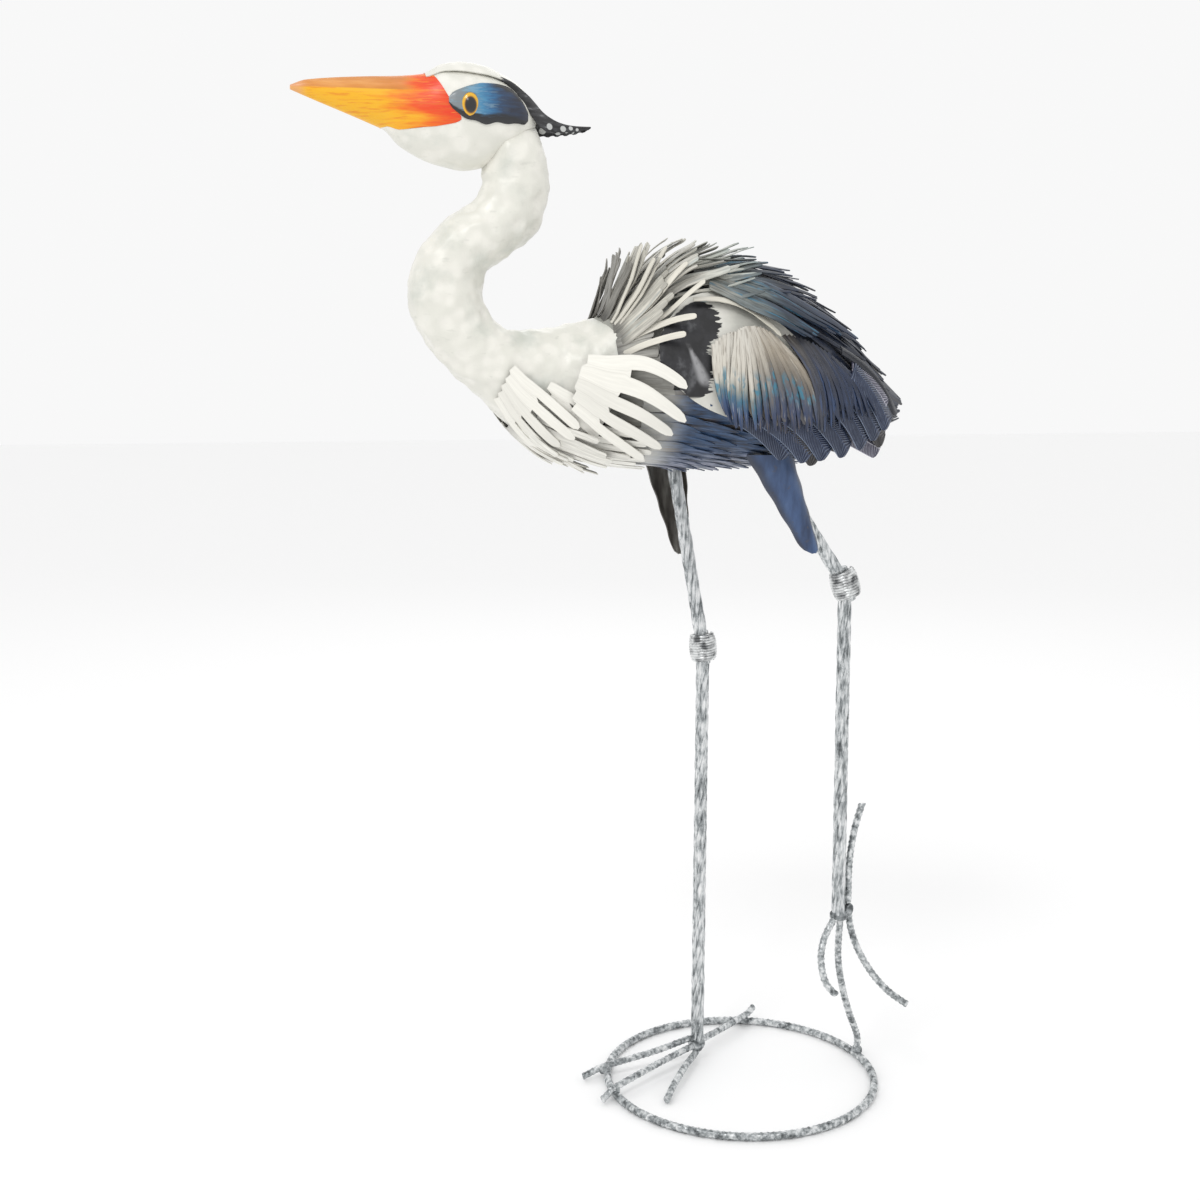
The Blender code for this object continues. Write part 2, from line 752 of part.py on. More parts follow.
def neck_shell():
    """Breast and S-shaped neck in one hammered shell, open-rimmed in front of the body."""
    rings = []
    for x in (RIM_X, *[row[0] for row in reversed(SHELL[:4])]):
        rings.append([Vector((x, point.y, point.z)) for point in shell_ring(x, 0.0, NECK_SIDES)])
    rings.pop()
    rings += [neck_ring(*row) for row in NECK_RINGS]
    bm = bmesh.new()
    loft(bm, rings)
    finish_piece("neck_shell", bm, "cream")


def head_point(x, angle, lift=0.0):
    top, bottom, half = stations(HEAD_SHELL, x)
    middle, height = (top + bottom) / 2, (top - bottom) / 2
    rise = middle + (height + lift) * math.cos(angle)
    return Vector((x, -(half + lift) * math.sin(angle), HIP_HEIGHT + rise))


def beak_line(angle):
    """Where the beak ends at each angle round the head: back at the corner of the mouth."""
    turn = math.acos(math.cos(angle))
    if turn < BEAK_CORNER_ANGLE:
        return BEAK_TOP_X + (BEAK_CORNER_X - BEAK_TOP_X) * turn / BEAK_CORNER_ANGLE
    share = (turn - BEAK_CORNER_ANGLE) / (math.pi - BEAK_CORNER_ANGLE)
    return BEAK_CORNER_X + (BEAK_CHIN_X - BEAK_CORNER_X) * share


def eye_height():
    """The eye's height above the hips, a share of the head's half height above its middle."""
    top, bottom, half = stations(HEAD_SHELL, EYE_X)
    return (top + bottom) / 2 + EYE_LEVEL * (top - bottom) / 2


def beak_and_head():
    """The beak is a cone that ends in a corner on each cheek, and the head carries on from it."""
    angles = [2 * math.pi * k / HEAD_SIDES for k in range(HEAD_SIDES)]
    beak = bmesh.new()
    rings = []
    for k in range(BEAK_STEPS + 1):
        share = (k / BEAK_STEPS) ** 1.3
        ring = []
        for angle in angles:
            end = beak_line(angle) - TOUCH
            ring.append(head_point(BEAK_TIP_X + (end - BEAK_TIP_X) * share, angle))
        rings.append(ring)
    loft(beak, rings, close_end=False)
    peak = Vector((BEAK_TOP_X - INNER_GAP, 0.0, HIP_HEIGHT + eye_height()))
    cap_with_point(beak, rings[-1], peak)
    finish_piece("beak", beak, "orange")
    head = bmesh.new()
    rings = []
    for k in range(HEAD_STEPS + 1):
        share = k / HEAD_STEPS
        ring = []
        for angle in angles:
            start = beak_line(angle) + TOUCH
            ring.append(head_point(start + (NAPE_X - start) * share, angle))
        rings.append(ring)
    loft(head, rings, close_start=False)
    cap_with_point(head, rings[0], peak + Vector((2 * TOUCH, 0.0, 0.0)))
    return finish_piece("head_shell", head, "cream")


def cap_with_point(bm, ring, point):
    """Closes a ring that isn't flat with a fan to one point."""
    bm.verts.ensure_lookup_table()
    corners = []
    for spot in ring:
        corners.append(min(bm.verts, key=lambda vert: (vert.co - spot).length))
    middle = bm.verts.new(point)
    count = len(corners)
    for k in range(count):
        bm.faces.new((corners[k], corners[(k + 1) % count], middle))
    bmesh.ops.recalc_face_normals(bm, faces=bm.faces)


def trim_neck_to_head(head):
    """The neck runs up behind the head shell, so its top is cut to the head's shape."""
    room = bmesh.new()
    room.from_mesh(head.data)
    for vert in room.verts:
        vert.co += vert.normal * TOUCH * 2
    mesh = bpy.data.meshes.new("head_room")
    room.to_mesh(mesh)
    room.free()
    cutter = bpy.data.objects.new("head_room", mesh)
    cutter.hide_render = True
    cutter.display_type = "WIRE"
    bpy.context.collection.objects.link(cutter)
    cut = bpy.data.objects["neck_shell"].modifiers.new("head", "BOOLEAN")
    cut.operation = "DIFFERENCE"
    cut.object = cutter


def crown_cap():
    """A thin plate over the top of the head, from the beak to the crest."""
    rows, columns = 5, 4
    bm = bmesh.new()
    grid = []
    for i in range(rows + 1):
        x = CROWN_FRONT_X + (CROWN_REAR_X - CROWN_FRONT_X) * i / rows
        spread = CROWN_ANGLE * (0.55 + 0.45 * math.sin(math.pi * (i + 0.8) / (rows + 1)))
        line = []
        for k in range(columns + 1):
            line.append(bm.verts.new(head_point(x, spread * (2 * k / columns - 1), CROWN_LIFT + TOUCH)))
        grid.append(line)
    for near, far in zip(grid, grid[1:]):
        for k in range(columns):
            bm.faces.new((near[k], near[k + 1], far[k + 1], far[k]))
    bmesh.ops.recalc_face_normals(bm, faces=bm.faces)
    thicken(finish_piece("crown_cap", bm, "cream"))


def crest_plume(name, side):
    """A black plume that lies along the back of the crown and runs out to a point."""
    bm = bmesh.new()
    lines = []
    for x, upper, lower, out in CREST:
        inner = out - CREST_LEAN * (upper - lower)
        outer = bm.verts.new((x, side * out, HIP_HEIGHT + lower))
        lines.append((outer, bm.verts.new((x, side * inner, HIP_HEIGHT + upper))))
    for near, far in zip(lines, lines[1:]):
        bm.faces.new((near[0], far[0], far[1], near[1]))
    bmesh.ops.recalc_face_normals(bm, faces=bm.faces)
    thicken(finish_piece(name, bm, "black"))


def eye(name, side):
    """A low bead let on to the side of the head."""
    surface = stations(HEAD_SHELL, EYE_X)[2] * math.sqrt(1 - EYE_LEVEL * EYE_LEVEL)
    rings = []
    for share, proud in ((1.0, -0.0002), (0.95, 0.45), (0.62, 0.85), (0.25, 1.0)):
        ring = []
        for k in range(EYE_SIDES):
            turn = 2 * math.pi * k / EYE_SIDES
            x = EYE_X + EYE_LENGTH / 2 * share * math.cos(turn)
            z = eye_height() + EYE_HEIGHT / 2 * share * math.sin(turn)
            top, bottom, half = stations(HEAD_SHELL, x)
            level = (z - (top + bottom) / 2) / ((top - bottom) / 2)
            skin = half * math.sqrt(1 - level * level) + TOUCH * 3
            depth = skin if share == 1.0 else max(skin, surface) + EYE_PROUD * proud
            ring.append(Vector((x, side * depth, HIP_HEIGHT + z)))
        rings.append(ring)
    bm = bmesh.new()
    loft(bm, rings)
    finish_piece(name, bm, "yellow")


def back_combs():
    """Collar, back and rump: rows of fingers across the back, each lifted over the next row."""
    for name, (along, lifts, wide, count, widths, upright) in BACK_COMBS.items():
        root_x, top_x, side_x = along
        fingers = []
        for k in range(count):
            share = 2 * k / (count - 1) - 1
            side = share * share
            right = max(0.0, -share) * upright
            root = (root_x, math.radians(wide[0]) * share)
            tip = (
                top_x + (side_x - top_x) * side - UPRIGHT_FORWARD * right,
                math.radians(wide[1]) * share * (1 - UPRIGHT_CLOSING * right),
            )
            lift = lifts[1] * (1 - (1 - SIDE_LIFT_SHARE) * side) + right
            fingers.append((root, tip, lifts[0], lift))
        rows = (
            (0.0, widths[0] / 2, 0.0),
            (0.14, widths[0] / 2, 0.16),
            (0.58, (widths[0] + widths[1]) / 4, 0.64),
            (1.0, widths[1] / 2, 1.0),
        )
        comb_plate(name, shell_point, fingers, rows, "cream" if "collar" in name else "navy")


def belly_combs():
    """Rows of fingers under the breast and the belly, with room left for the legs."""
    rows = (
        (0.0, BELLY_WIDTH * 0.45, 0.0),
        (0.12, BELLY_WIDTH / 2, 0.12),
        (0.6, BELLY_WIDTH / 2, 0.6),
        (1.0, BELLY_WIDTH / 5, 1.0),
    )
    for name, (root_x, tip_x, root_lift, tip_lift, angles, band_angles) in BELLY_COMBS.items():
        fingers = [
            ((root_x, math.radians(angle)), (tip_x, math.radians(angle)), root_lift, tip_lift)
            for angle in sorted(angles + band_angles)
        ]
        uncut = [sorted(angles + band_angles).index(angle) for angle in band_angles]
        comb_plate(name, shell_point, fingers, rows, "blue" if "belly" in name else "cream", uncut)


def both_sides(name, guide, fingers, rows, paint_name):
    comb_plate("left_" + name, guide, fingers, rows, paint_name)
    comb_plate("right_" + name, mirrored(guide), fingers[::-1], rows, paint_name)


def fan_fingers(root_a, root_b, tip_a, tip_b, count, root_lift, tip_lift, turn=1.0):
    fingers = []
    for k in range(count):
        share = k / (count - 1)
        root = [root_a[i] + (root_b[i] - root_a[i]) * share for i in (0, 1)]
        tip = [tip_a[i] + (tip_b[i] - tip_a[i]) * share for i in (0, 1)]
        root[1] *= turn
        tip[1] *= turn
        fingers.append((root, tip, root_lift, tip_lift))
    return fingers


def breast_plates():
    """Hand-shaped plates on the breast: a palm with long round fingers."""
    rows = (
        (0.0, 0.0038, 0.0),
        (0.34, 0.0048, 0.3),
        (0.66, 0.0046, 0.6),
        (0.95, 0.0034, 0.95),
        (1.0, 0.0016, 1.0),
    )
    for name, (roots, tips, count, lifts) in BREAST_PLATES.items():
        fingers = fan_fingers(*roots, *tips, count, *lifts, math.radians(1))
        both_sides(name, shell_point, fingers, rows, "cream")


def wing_combs():
    """Tail, primaries and covert fans, in layers from the body outwards."""
    for name, (roots, tips, count, layer, widths) in WING_COMBS.items():
        lift = LAYER * layer
        fingers = fan_fingers(*roots, *tips, count, lift * ROOT_LIFT_SHARE, lift)
        rows = [(0.0, widths[0] * 0.42, 0.0), (0.22, widths[0] / 2, 0.2)]
        if widths[1] > PADDLE_WIDTH:
            rows += [(0.88, widths[1] / 2, 0.9), (1.0, widths[1] / 5, 1.0)]
        else:
            rows += [(0.62, widths[1] / 2, 0.6), (1.0, widths[1] / 4, 1.0)]
        both_sides(name, wing_point, fingers, rows, "navy" if layer < 4 else "stone")


def shoulder_plates():
    """A curved plate on each shoulder, under the covert fans."""
    columns = 4
    for side, guide in (("left", wing_point), ("right", mirrored(wing_point))):
        bm = bmesh.new()
        grid = [
            [bm.verts.new(guide(x, low + (high - low) * k / columns, LAYER)) for k in range(columns + 1)]
            for x, low, high in SHOULDER_PLATE
        ]
        for near, far in zip(grid, grid[1:]):
            for k in range(columns):
                bm.faces.new((near[k], near[k + 1], far[k + 1], far[k]))
        bmesh.ops.recalc_face_normals(bm, faces=bm.faces)
        thicken(finish_piece(side + "_shoulder_plate", bm, "stone"))


def stand_on_origin():
    """Moves every piece so that the origin is at the bottom centre of the whole bird."""
    bpy.context.view_layer.update()
    depsgraph = bpy.context.evaluated_depsgraph_get()
    low = Vector((1e9, 1e9, 1e9))
    high = -low
    for piece in PIECES:
        shape = piece.evaluated_get(depsgraph)
        mesh = shape.to_mesh()
        for vert in mesh.vertices:
            for axis in range(3):
                low[axis] = min(low[axis], vert.co[axis])
                high[axis] = max(high[axis], vert.co[axis])
        shape.to_mesh_clear()
    shift = Vector((-(low.x + high.x) / 2, -(low.y + high.y) / 2, -low.z))
    for piece in bpy.context.collection.objects:
        piece.location = shift


def build():
    clear_scene()
    ground_ring()
    toes()
    leg("standing", STANDING_FOOT, STANDING_KNEE, STANDING_HIP)
    leg("lifted", LIFTED_FOOT, LIFTED_KNEE, LIFTED_HIP)
    thigh_plate("left_thigh_plate", LEFT_THIGH_TOP, LEFT_THIGH_TIP, -1)
    thigh_plate("right_thigh_plate", RIGHT_THIGH_TOP, RIGHT_THIGH_TIP, 1)
    body_shell()
    neck_shell()
    trim_neck_to_head(beak_and_head())
    crown_cap()
    crest_plume("left_crest_plume", -1)
    crest_plume("right_crest_plume", 1)
    eye("left_eye", -1)
    eye("right_eye", 1)
    shoulder_plates()
    wing_combs()
    breast_plates()
    back_combs()
    belly_combs()
    stand_on_origin()


build()
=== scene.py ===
"""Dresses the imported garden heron: hammered shells, cut feathers, wound wire, rods and paint."""

import math
import random

import bmesh
import bpy
from mathutils import Matrix, Vector


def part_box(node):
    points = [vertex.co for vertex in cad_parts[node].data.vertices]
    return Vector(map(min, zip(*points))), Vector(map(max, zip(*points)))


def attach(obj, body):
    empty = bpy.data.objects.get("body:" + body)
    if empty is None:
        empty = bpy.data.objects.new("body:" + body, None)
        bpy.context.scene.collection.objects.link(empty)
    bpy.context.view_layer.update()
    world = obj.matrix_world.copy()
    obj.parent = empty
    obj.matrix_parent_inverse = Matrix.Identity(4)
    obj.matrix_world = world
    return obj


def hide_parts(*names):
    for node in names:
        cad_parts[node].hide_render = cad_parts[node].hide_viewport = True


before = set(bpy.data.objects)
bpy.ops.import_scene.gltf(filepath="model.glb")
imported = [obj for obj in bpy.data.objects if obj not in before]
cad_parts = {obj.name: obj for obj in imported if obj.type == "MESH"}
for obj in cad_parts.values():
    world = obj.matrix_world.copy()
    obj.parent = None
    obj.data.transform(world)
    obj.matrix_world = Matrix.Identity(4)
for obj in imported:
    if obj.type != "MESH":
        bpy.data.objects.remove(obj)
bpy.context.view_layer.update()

ring_low, ring_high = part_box("ground_ring")
GROUND = Vector(((ring_low.x + ring_high.x) / 2, (ring_low.y + ring_high.y) / 2, 0.0))

# Sizes shared with the solids. Places are measured from the ring's centre.
SHEET = 0.0011
STRIP_SHEET = 0.0010
PATCH_SHEET = 0.0009
LAYER = 0.0032
RING_RADIUS = 0.1352
RING_ROD = 0.0076
TOE_ROD = 0.0068
LEG_ROD = 0.0136
STRANDS = 6
STRAND_RADIUS = 0.0027
STRAND_PITCH = 0.125
KNEE_DIAMETER = 0.0285
KNEE_HEIGHT = 0.0300
COIL_RADIUS = 0.00155
COIL_TURNS = 10
STANDING_FOOT = Vector((-0.0280, 0.0540, 0.0125))
STANDING_KNEE = Vector((-0.0256, 0.0540, 0.4380))
STANDING_HIP = Vector((-0.0610, 0.0500, 0.6300))
LIFTED_FOOT = Vector((0.0852, -0.0437, 0.1800))
LIFTED_KNEE = Vector((0.0848, -0.0437, 0.5109))
LIFTED_HIP = Vector((0.0030, -0.0437, 0.6300))
# Heading in degrees, then the distance from the foot and the height of each bend.
STANDING_TOES = {
    "standing_toe_inner": (
        189.5,
        ((0.0106, 0.0235), (0.050, 0.0170), (0.106, 0.0116), (0.118, 0.0088), (0.131, 0.0048)),
    ),
    "standing_toe_middle": (
        212.0,
        ((0.0106, 0.0160), (0.060, 0.0150), (0.1255, 0.0116), (0.137, 0.0082), (0.146, 0.0050)),
    ),
    "standing_toe_outer": (
        236.0,
        ((0.0, 0.0086), (0.020, 0.0092), (0.045, 0.0105), (0.084, 0.0088), (0.112, 0.0040)),
    ),
    "standing_toe_hind": (
        40.0,
        ((0.0106, 0.0175), (0.050, 0.0150), (0.099, 0.0130), (0.110, 0.0140), (0.119, 0.0165)),
    ),
}
# Bends, measured from the lower end of the lifted shank.
LIFTED_TOES = {
    "lifted_toe_inner": (
        (-0.0047, -0.0010, -0.0039),
        (-0.0170, -0.0075, -0.0190),
        (-0.0235, -0.0143, -0.0345),
        (-0.0238, -0.0193, -0.0499),
        (-0.0203, -0.0233, -0.0627),
        (-0.0123, -0.0263, -0.0716),
    ),
    "lifted_toe_middle": (
        (0.0029, 0.0010, -0.0039),
        (0.0043, 0.0077, -0.0447),
        (0.0153, 0.0217, -0.0823),
        (0.0309, 0.0377, -0.1197),
        (0.0478, 0.0527, -0.1539),
        (0.0493, 0.0574, -0.1704),
    ),
    "lifted_toe_outer": (
        (0.0116, 0.0000, 0.0005),
        (0.0130, -0.0003, -0.0125),
        (0.0198, -0.0033, -0.0349),
        (0.0338, -0.0073, -0.0603),
        (0.0509, -0.0113, -0.0805),
        (0.0707, -0.0143, -0.0956),
    ),
    "lifted_toe_hind": (
        (0.0109, 0.0010, 0.0110),
        (0.0112, 0.0007, 0.0534),
        (0.0164, 0.0017, 0.0858),
        (0.0249, 0.0037, 0.1109),
    ),
}
LEFT_THIGH_TOP = Vector((0.0030, -0.0437, 0.6370))
LEFT_THIGH_TIP = Vector((0.0440, -0.0560, 0.5440))
RIGHT_THIGH_TOP = Vector((-0.0690, 0.0500, 0.6370))
RIGHT_THIGH_TIP = Vector((-0.0440, 0.0660, 0.5310))
THIGH_TOP_RADIUS = 0.0230
THIGH_TIP_RADIUS = 0.0075
THIGH_WRAP = math.radians(165)
# Place along the body, top, bottom, half width.
SHELL = (
    (-0.2500, 0.7620, 0.6780, 0.0360),
    (-0.2275, 0.7530, 0.6560, 0.0390),
    (-0.2000, 0.7540, 0.6420, 0.0450),
    (-0.1750, 0.7590, 0.6360, 0.0510),
    (-0.1550, 0.7640, 0.6320, 0.0560),
    (-0.1200, 0.7860, 0.6300, 0.0700),
    (-0.0700, 0.8060, 0.6300, 0.0830),
    (-0.0200, 0.8060, 0.6320, 0.0860),
    (0.0300, 0.7900, 0.6360, 0.0780),
    (0.0800, 0.7570, 0.6430, 0.0600),
    (0.1200, 0.7160, 0.6560, 0.0330),
    (0.1500, 0.6880, 0.6700, 0.0080),
)
RIM_X = -0.1550
# Front point, back point, half width of each ring from the body up.
NECK_RINGS = (
    (-0.2665, 0.6915, -0.2340, 0.7530, 0.0360),
    (-0.2885, 0.7110, -0.2390, 0.7540, 0.0345),
    (-0.3075, 0.7315, -0.2470, 0.7600, 0.0335),
    (-0.3225, 0.7590, -0.2560, 0.7750, 0.0325),
    (-0.3270, 0.7900, -0.2585, 0.7890, 0.0320),
    (-0.3165, 0.8240, -0.2520, 0.8035, 0.0318),
    (-0.2900, 0.8515, -0.2300, 0.8180, 0.0315),
    (-0.2680, 0.8655, -0.2070, 0.8390, 0.0310),
    (-0.2590, 0.8800, -0.1965, 0.8700, 0.0305),
    (-0.2585, 0.8900, -0.1960, 0.8980, 0.0300),
    (-0.2550, 0.9050, -0.2010, 0.9170, 0.0280),
    (-0.2500, 0.9160, -0.2075, 0.9310, 0.0220),
)
# Place along the head, top, bottom, half width.
HEAD_SHELL = (
    (-0.4260, 0.9595, 0.9560, 0.0020),
    (-0.4120, 0.9645, 0.9505, 0.0050),
    (-0.3566, 0.9697, 0.9295, 0.0135),
    (-0.3450, 0.9703, 0.9245, 0.0155),
    (-0.3330, 0.9710, 0.9120, 0.0185),
    (-0.3180, 0.9725, 0.9030, 0.0220),
    (-0.3080, 0.9740, 0.8985, 0.0245),
    (-0.2935, 0.9805, 0.8945, 0.0275),
    (-0.2750, 0.9825, 0.8915, 0.0300),
    (-0.2580, 0.9805, 0.8945, 0.0308),
    (-0.2422, 0.9745, 0.9030, 0.0300),
    (-0.2280, 0.9665, 0.9110, 0.0270),
    (-0.2150, 0.9530, 0.9230, 0.0200),
    (-0.2090, 0.9430, 0.9310, 0.0110),
)
BEAK_TIP_X = -0.4260
NAPE_X = -0.2100
MOUTH_ANGLE = math.radians(62)
EYE = Vector((-0.2730, 0.0, 0.9440))
EYE_HALF_WIDTH = 0.0080
EYE_HALF_HEIGHT = 0.0112
IRIS_HALF_HEIGHT = 0.0110
# Place along the wing, distance from the bird's middle plane.
WING_PLAN = (
    (-0.1400, 0.0640),
    (-0.1000, 0.0790),
    (-0.0500, 0.0880),
    (0.0000, 0.0880),
    (0.0500, 0.0770),
    (0.1000, 0.0530),
    (0.1400, 0.0290),
    (0.1650, 0.0150),
)
WING_MIDDLE_FRONT = 0.7180
WING_MIDDLE_REAR = 0.6750
WING_BEND_ABOVE = 5.0
WING_BEND_BELOW = 2.6
DEGREE = math.radians(1)
PROBE = 0.004


def slope_at(secants, k):
    """Slope at a station that makes the curve through it neither overshoot nor kink."""
    if k == 0:
        return secants[0]
    if k == len(secants):
        return secants[-1]
    before, after = secants[k - 1], secants[k]
    if before * after <= 0:
        return 0.0
    return 2 * before * after / (before + after)


def stations(rows, x):
    """Smooth values between the stations of a table, straight beyond its ends."""
    count = len(rows)
    i = 0
    while i < count - 2 and x > rows[i + 1][0]:
        i += 1
    step = rows[i + 1][0] - rows[i][0]
    t = (x - rows[i][0]) / step
    values = []
    for column in range(1, len(rows[0])):
        secants = [
            (rows[k + 1][column] - rows[k][column]) / (rows[k + 1][0] - rows[k][0])
            for k in range(count - 1)
        ]
        slope0, slope1 = slope_at(secants, i), slope_at(secants, i + 1)
        a, b = rows[i][column], rows[i + 1][column]
        if t < 0:
            values.append(a + slope0 * (x - rows[i][0]))
        elif t > 1:
            values.append(b + slope1 * (x - rows[i + 1][0]))
        else:
            s = t * t
            c = s * t
            bend = step * (slope0 * (c - 2 * s + t) + slope1 * (c - s))
            values.append(a * (2 * c - 3 * s + 1) + b * (3 * s - 2 * c) + bend)
    return values


def shell_point(x, angle, lift):
    """Over the body and breast: angle 0 on top, growing towards the bird's left."""
    top, bottom, half = stations(SHELL, x)
    middle, height = (top + bottom) / 2, (top - bottom) / 2
    sine, cosine = math.sin(angle), math.cos(angle)
    ahead = stations(SHELL, x + PROBE)
    rise = (ahead[0] + ahead[1]) / 2 - middle + ((ahead[0] - ahead[1]) / 2 - height) * cosine
    slope = Vector((PROBE, -(ahead[2] - half) * sine, rise))
    normal = Vector((0.0, -half * cosine, -height * sine)).cross(slope).normalized()
    return Vector((x, -half * sine, middle + height * cosine)) + normal * lift


def wing_point(x, z, lift):
    """On the bird's left wing surface, which hangs from the shoulder."""
    half = stations(WING_PLAN, x)[0]
    share = (x - WING_PLAN[0][0]) / (WING_PLAN[-1][0] - WING_PLAN[0][0])
    drop = z - (WING_MIDDLE_FRONT + (WING_MIDDLE_REAR - WING_MIDDLE_FRONT) * share)
    bend = WING_BEND_ABOVE if drop > 0 else WING_BEND_BELOW
    widening = (stations(WING_PLAN, x + PROBE)[0] - half) / PROBE
    normal = Vector((-widening, -1.0, 2 * bend * drop)).normalized()
    return Vector((x, -(half - bend * drop * drop), z)) + normal * lift


def head_point(x, angle, lift=0.0):
    """Over the head and beak: angle 0 on top, growing towards the bird's left."""
    top, bottom, half = stations(HEAD_SHELL, x)
    middle, height = (top + bottom) / 2, (top - bottom) / 2
    return Vector((x, -(half + lift) * math.sin(angle), middle + (height + lift) * math.cos(angle)))


def head_side(x, z, lift=0.0):
    """On the left side of the head at a height."""
    top, bottom, half = stations(HEAD_SHELL, x)
    level = (z - (top + bottom) / 2) / ((top - bottom) / 2)
    level = max(-0.98, min(0.98, level))
    skin = half * math.sqrt(1 - level * level)
    return Vector((x, -(skin + lift), z))


def mirrored(guide):
    """The same guide on the bird's right side."""

    def right_side(u, v, lift):
        point = guide(u, v, lift)
        return Vector((point.x, -point.y, point.z))

    return right_side


# Degrees from the top of the head, place where the beak ends.
BEAK_EDGE = (
    (0.0, -0.3080),
    (40.0, -0.3010),
    (70.0, -0.2925),
    (88.0, -0.2840),
    (96.0, -0.2812),
    (100.0, -0.2850),
    (104.0, -0.2960),
    (108.0, -0.3130),
    (126.0, -0.3320),
    (150.0, -0.3440),
    (181.0, -0.3500),
)


def cheek_angle(across):
    """Angles round the head, packed closer where the beak's edge turns at the mouth."""
    half = 2 * across if across <= 0.5 else 2 * (1 - across)
    turn = stations(((0.0, 0.0), (0.38, 90.0), (0.68, 110.0), (1.0, 180.0)), half)[0]
    turn = math.radians(turn)
    return turn if across <= 0.5 else 2 * math.pi - turn


def from_top(angle):
    """How far an angle round the bird lies from the top, the same on either side."""
    return math.acos(max(-1.0, min(1.0, math.cos(angle))))


def beak_line(angle):
    """Where the beak ends at each angle round the head: back at the corner of the mouth."""
    return stations(BEAK_EDGE, math.degrees(from_top(angle)))[0]


def smooth_between(before, start, end, after, t):
    """A point between start and end on a smooth curve through four points."""
    return 0.5 * (
        2 * start
        + (end - before) * t
        + (2 * before - 5 * start + 4 * end - after) * t * t
        + (3 * start - before - 3 * end + after) * t * t * t
    )


def deselect():
    if bpy.context.object is not None and bpy.context.object.mode != "OBJECT":
        bpy.ops.object.mode_set(mode="OBJECT")
    bpy.ops.object.select_all(action="DESELECT")


def take(piece):
    deselect()
    piece.select_set(True)
    bpy.context.view_layer.objects.active = piece


def apply_modifiers(piece):
    take(piece)
    for modifier in list(piece.modifiers):
        bpy.ops.object.modifier_apply(modifier=modifier.name)


def close_up(piece, gap=0.00002):
    """Merges touching points and turns all faces outwards."""
    take(piece)
    bpy.ops.object.mode_set(mode="EDIT")
    bpy.ops.mesh.select_all(action="SELECT")
    bpy.ops.mesh.remove_doubles(threshold=gap)
    bpy.ops.mesh.normals_make_consistent(inside=False)
    bpy.ops.object.mode_set(mode="OBJECT")


def thicken(piece, gauge=SHEET, second_paint=False):
    """Gives a sheet its gauge. With a second paint its back faces use the second slot."""
    wall = piece.modifiers.new("sheet", "SOLIDIFY")
    wall.thickness = gauge
    wall.offset = 0.0
    if second_paint:
        piece.data.materials.append(None)
        piece.data.materials.append(None)
        wall.material_offset = 1
    apply_modifiers(piece)


def settle(piece, paints, replaces=(), slot=None, angle=40):
    """Puts a finished piece in its place on the bird."""
    piece.data.transform(Matrix.Translation(GROUND))
    slots = piece.data.materials
    for number, paint in enumerate(paints):
        if number < len(slots):
            slots[number] = paint
        else:
            slots.append(paint)
    take(piece)
    bpy.ops.object.shade_smooth_by_angle(angle=math.radians(angle))
    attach(piece, "root")
    if replaces:
        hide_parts(*replaces)
    return piece


def sheet_metal(name, columns, rows, shape, closed=False):
    """A flat grid bent to a surface. shape gives each point from its place across and along."""
    deselect()
    bpy.ops.mesh.primitive_grid_add(x_subdivisions=columns, y_subdivisions=rows, size=1)
    piece = bpy.context.object
    piece.name = name
    for vert in piece.data.vertices:
        vert.co = shape(vert.co.x + 0.5, vert.co.y + 0.5)
    if closed:
        close_up(piece)
    return piece


PAINT_LEVEL = 0.88


def tint(red, green, blue):
    """A paint colour from 0 to 255 as the shader wants it."""
    linear = []
    for part in (red, green, blue):
        share = part / 255
        level = share / 12.92 if share <= 0.04045 else ((share + 0.055) / 1.055) ** 2.4
        linear.append(level * PAINT_LEVEL)
    return (*linear, 1.0)


def add(tree, kind, inputs, **settings):
    """A shader node with its settings, its inputs linked or given a value."""
    node = tree.nodes.new("ShaderNode" + kind)
    for name, value in settings.items():
        setattr(node, name, value)
    for key, value in inputs.items():
        if isinstance(value, bpy.types.NodeSocket):
            tree.links.new(value, node.inputs[key])
        else:
            node.inputs[key].default_value = value
    return node


def sums(tree, operation, a, b=0.0):
    """A step of arithmetic on one or two values."""
    return add(tree, "Math", {0: a, 1: b}, operation=operation).outputs[0]


def swing(tree, value, amount):
    """A value between 0 and 1 turned into a swing about zero."""
    return sums(tree, "MULTIPLY", sums(tree, "SUBTRACT", value, 0.5), amount)


def spread(tree, value, low, high, to_low=0.0, to_high=1.0):
    """Maps a range to another, smoothly and clamped."""
    node = add(
        tree,
        "MapRange",
        {"Value": value, "From Min": low, "From Max": high, "To Min": to_low, "To Max": to_high},
        interpolation_type="SMOOTHSTEP",
    )
    return node.outputs[0]


def layer(tree, amount, under, over, how="MIX"):
    """One coat of colour over another."""
    return add(
        tree, "Mix", {0: amount, 6: under, 7: over}, data_type="RGBA", blend_type=how
    ).outputs[2]


def ramp(tree, value, stops):
    """Colours placed along a value."""
    node = add(tree, "ValToRGB", {0: value})
    elements = node.color_ramp.elements
    while len(elements) < len(stops):
        elements.new(0.5)
    for element, (place, colour) in zip(elements, stops):
        element.position = place
        element.color = colour
    return node.outputs["Color"]


def speckle(tree, vector, scale, detail=3.0, roughness=0.55):
    """Cloudy noise between 0 and 1."""
    return add(
        tree,
        "TexNoise",
        {"Vector": vector, "Scale": scale, "Detail": detail, "Roughness": roughness},
    ).outputs["Fac"]


def stretched(tree, vector, scale, place=(0, 0, 0), turn=(0, 0, 0)):
    """Coordinates moved, turned and scaled."""
    return add(
        tree, "Mapping", {"Vector": vector, "Location": place, "Rotation": turn, "Scale": scale}
    ).outputs[0]


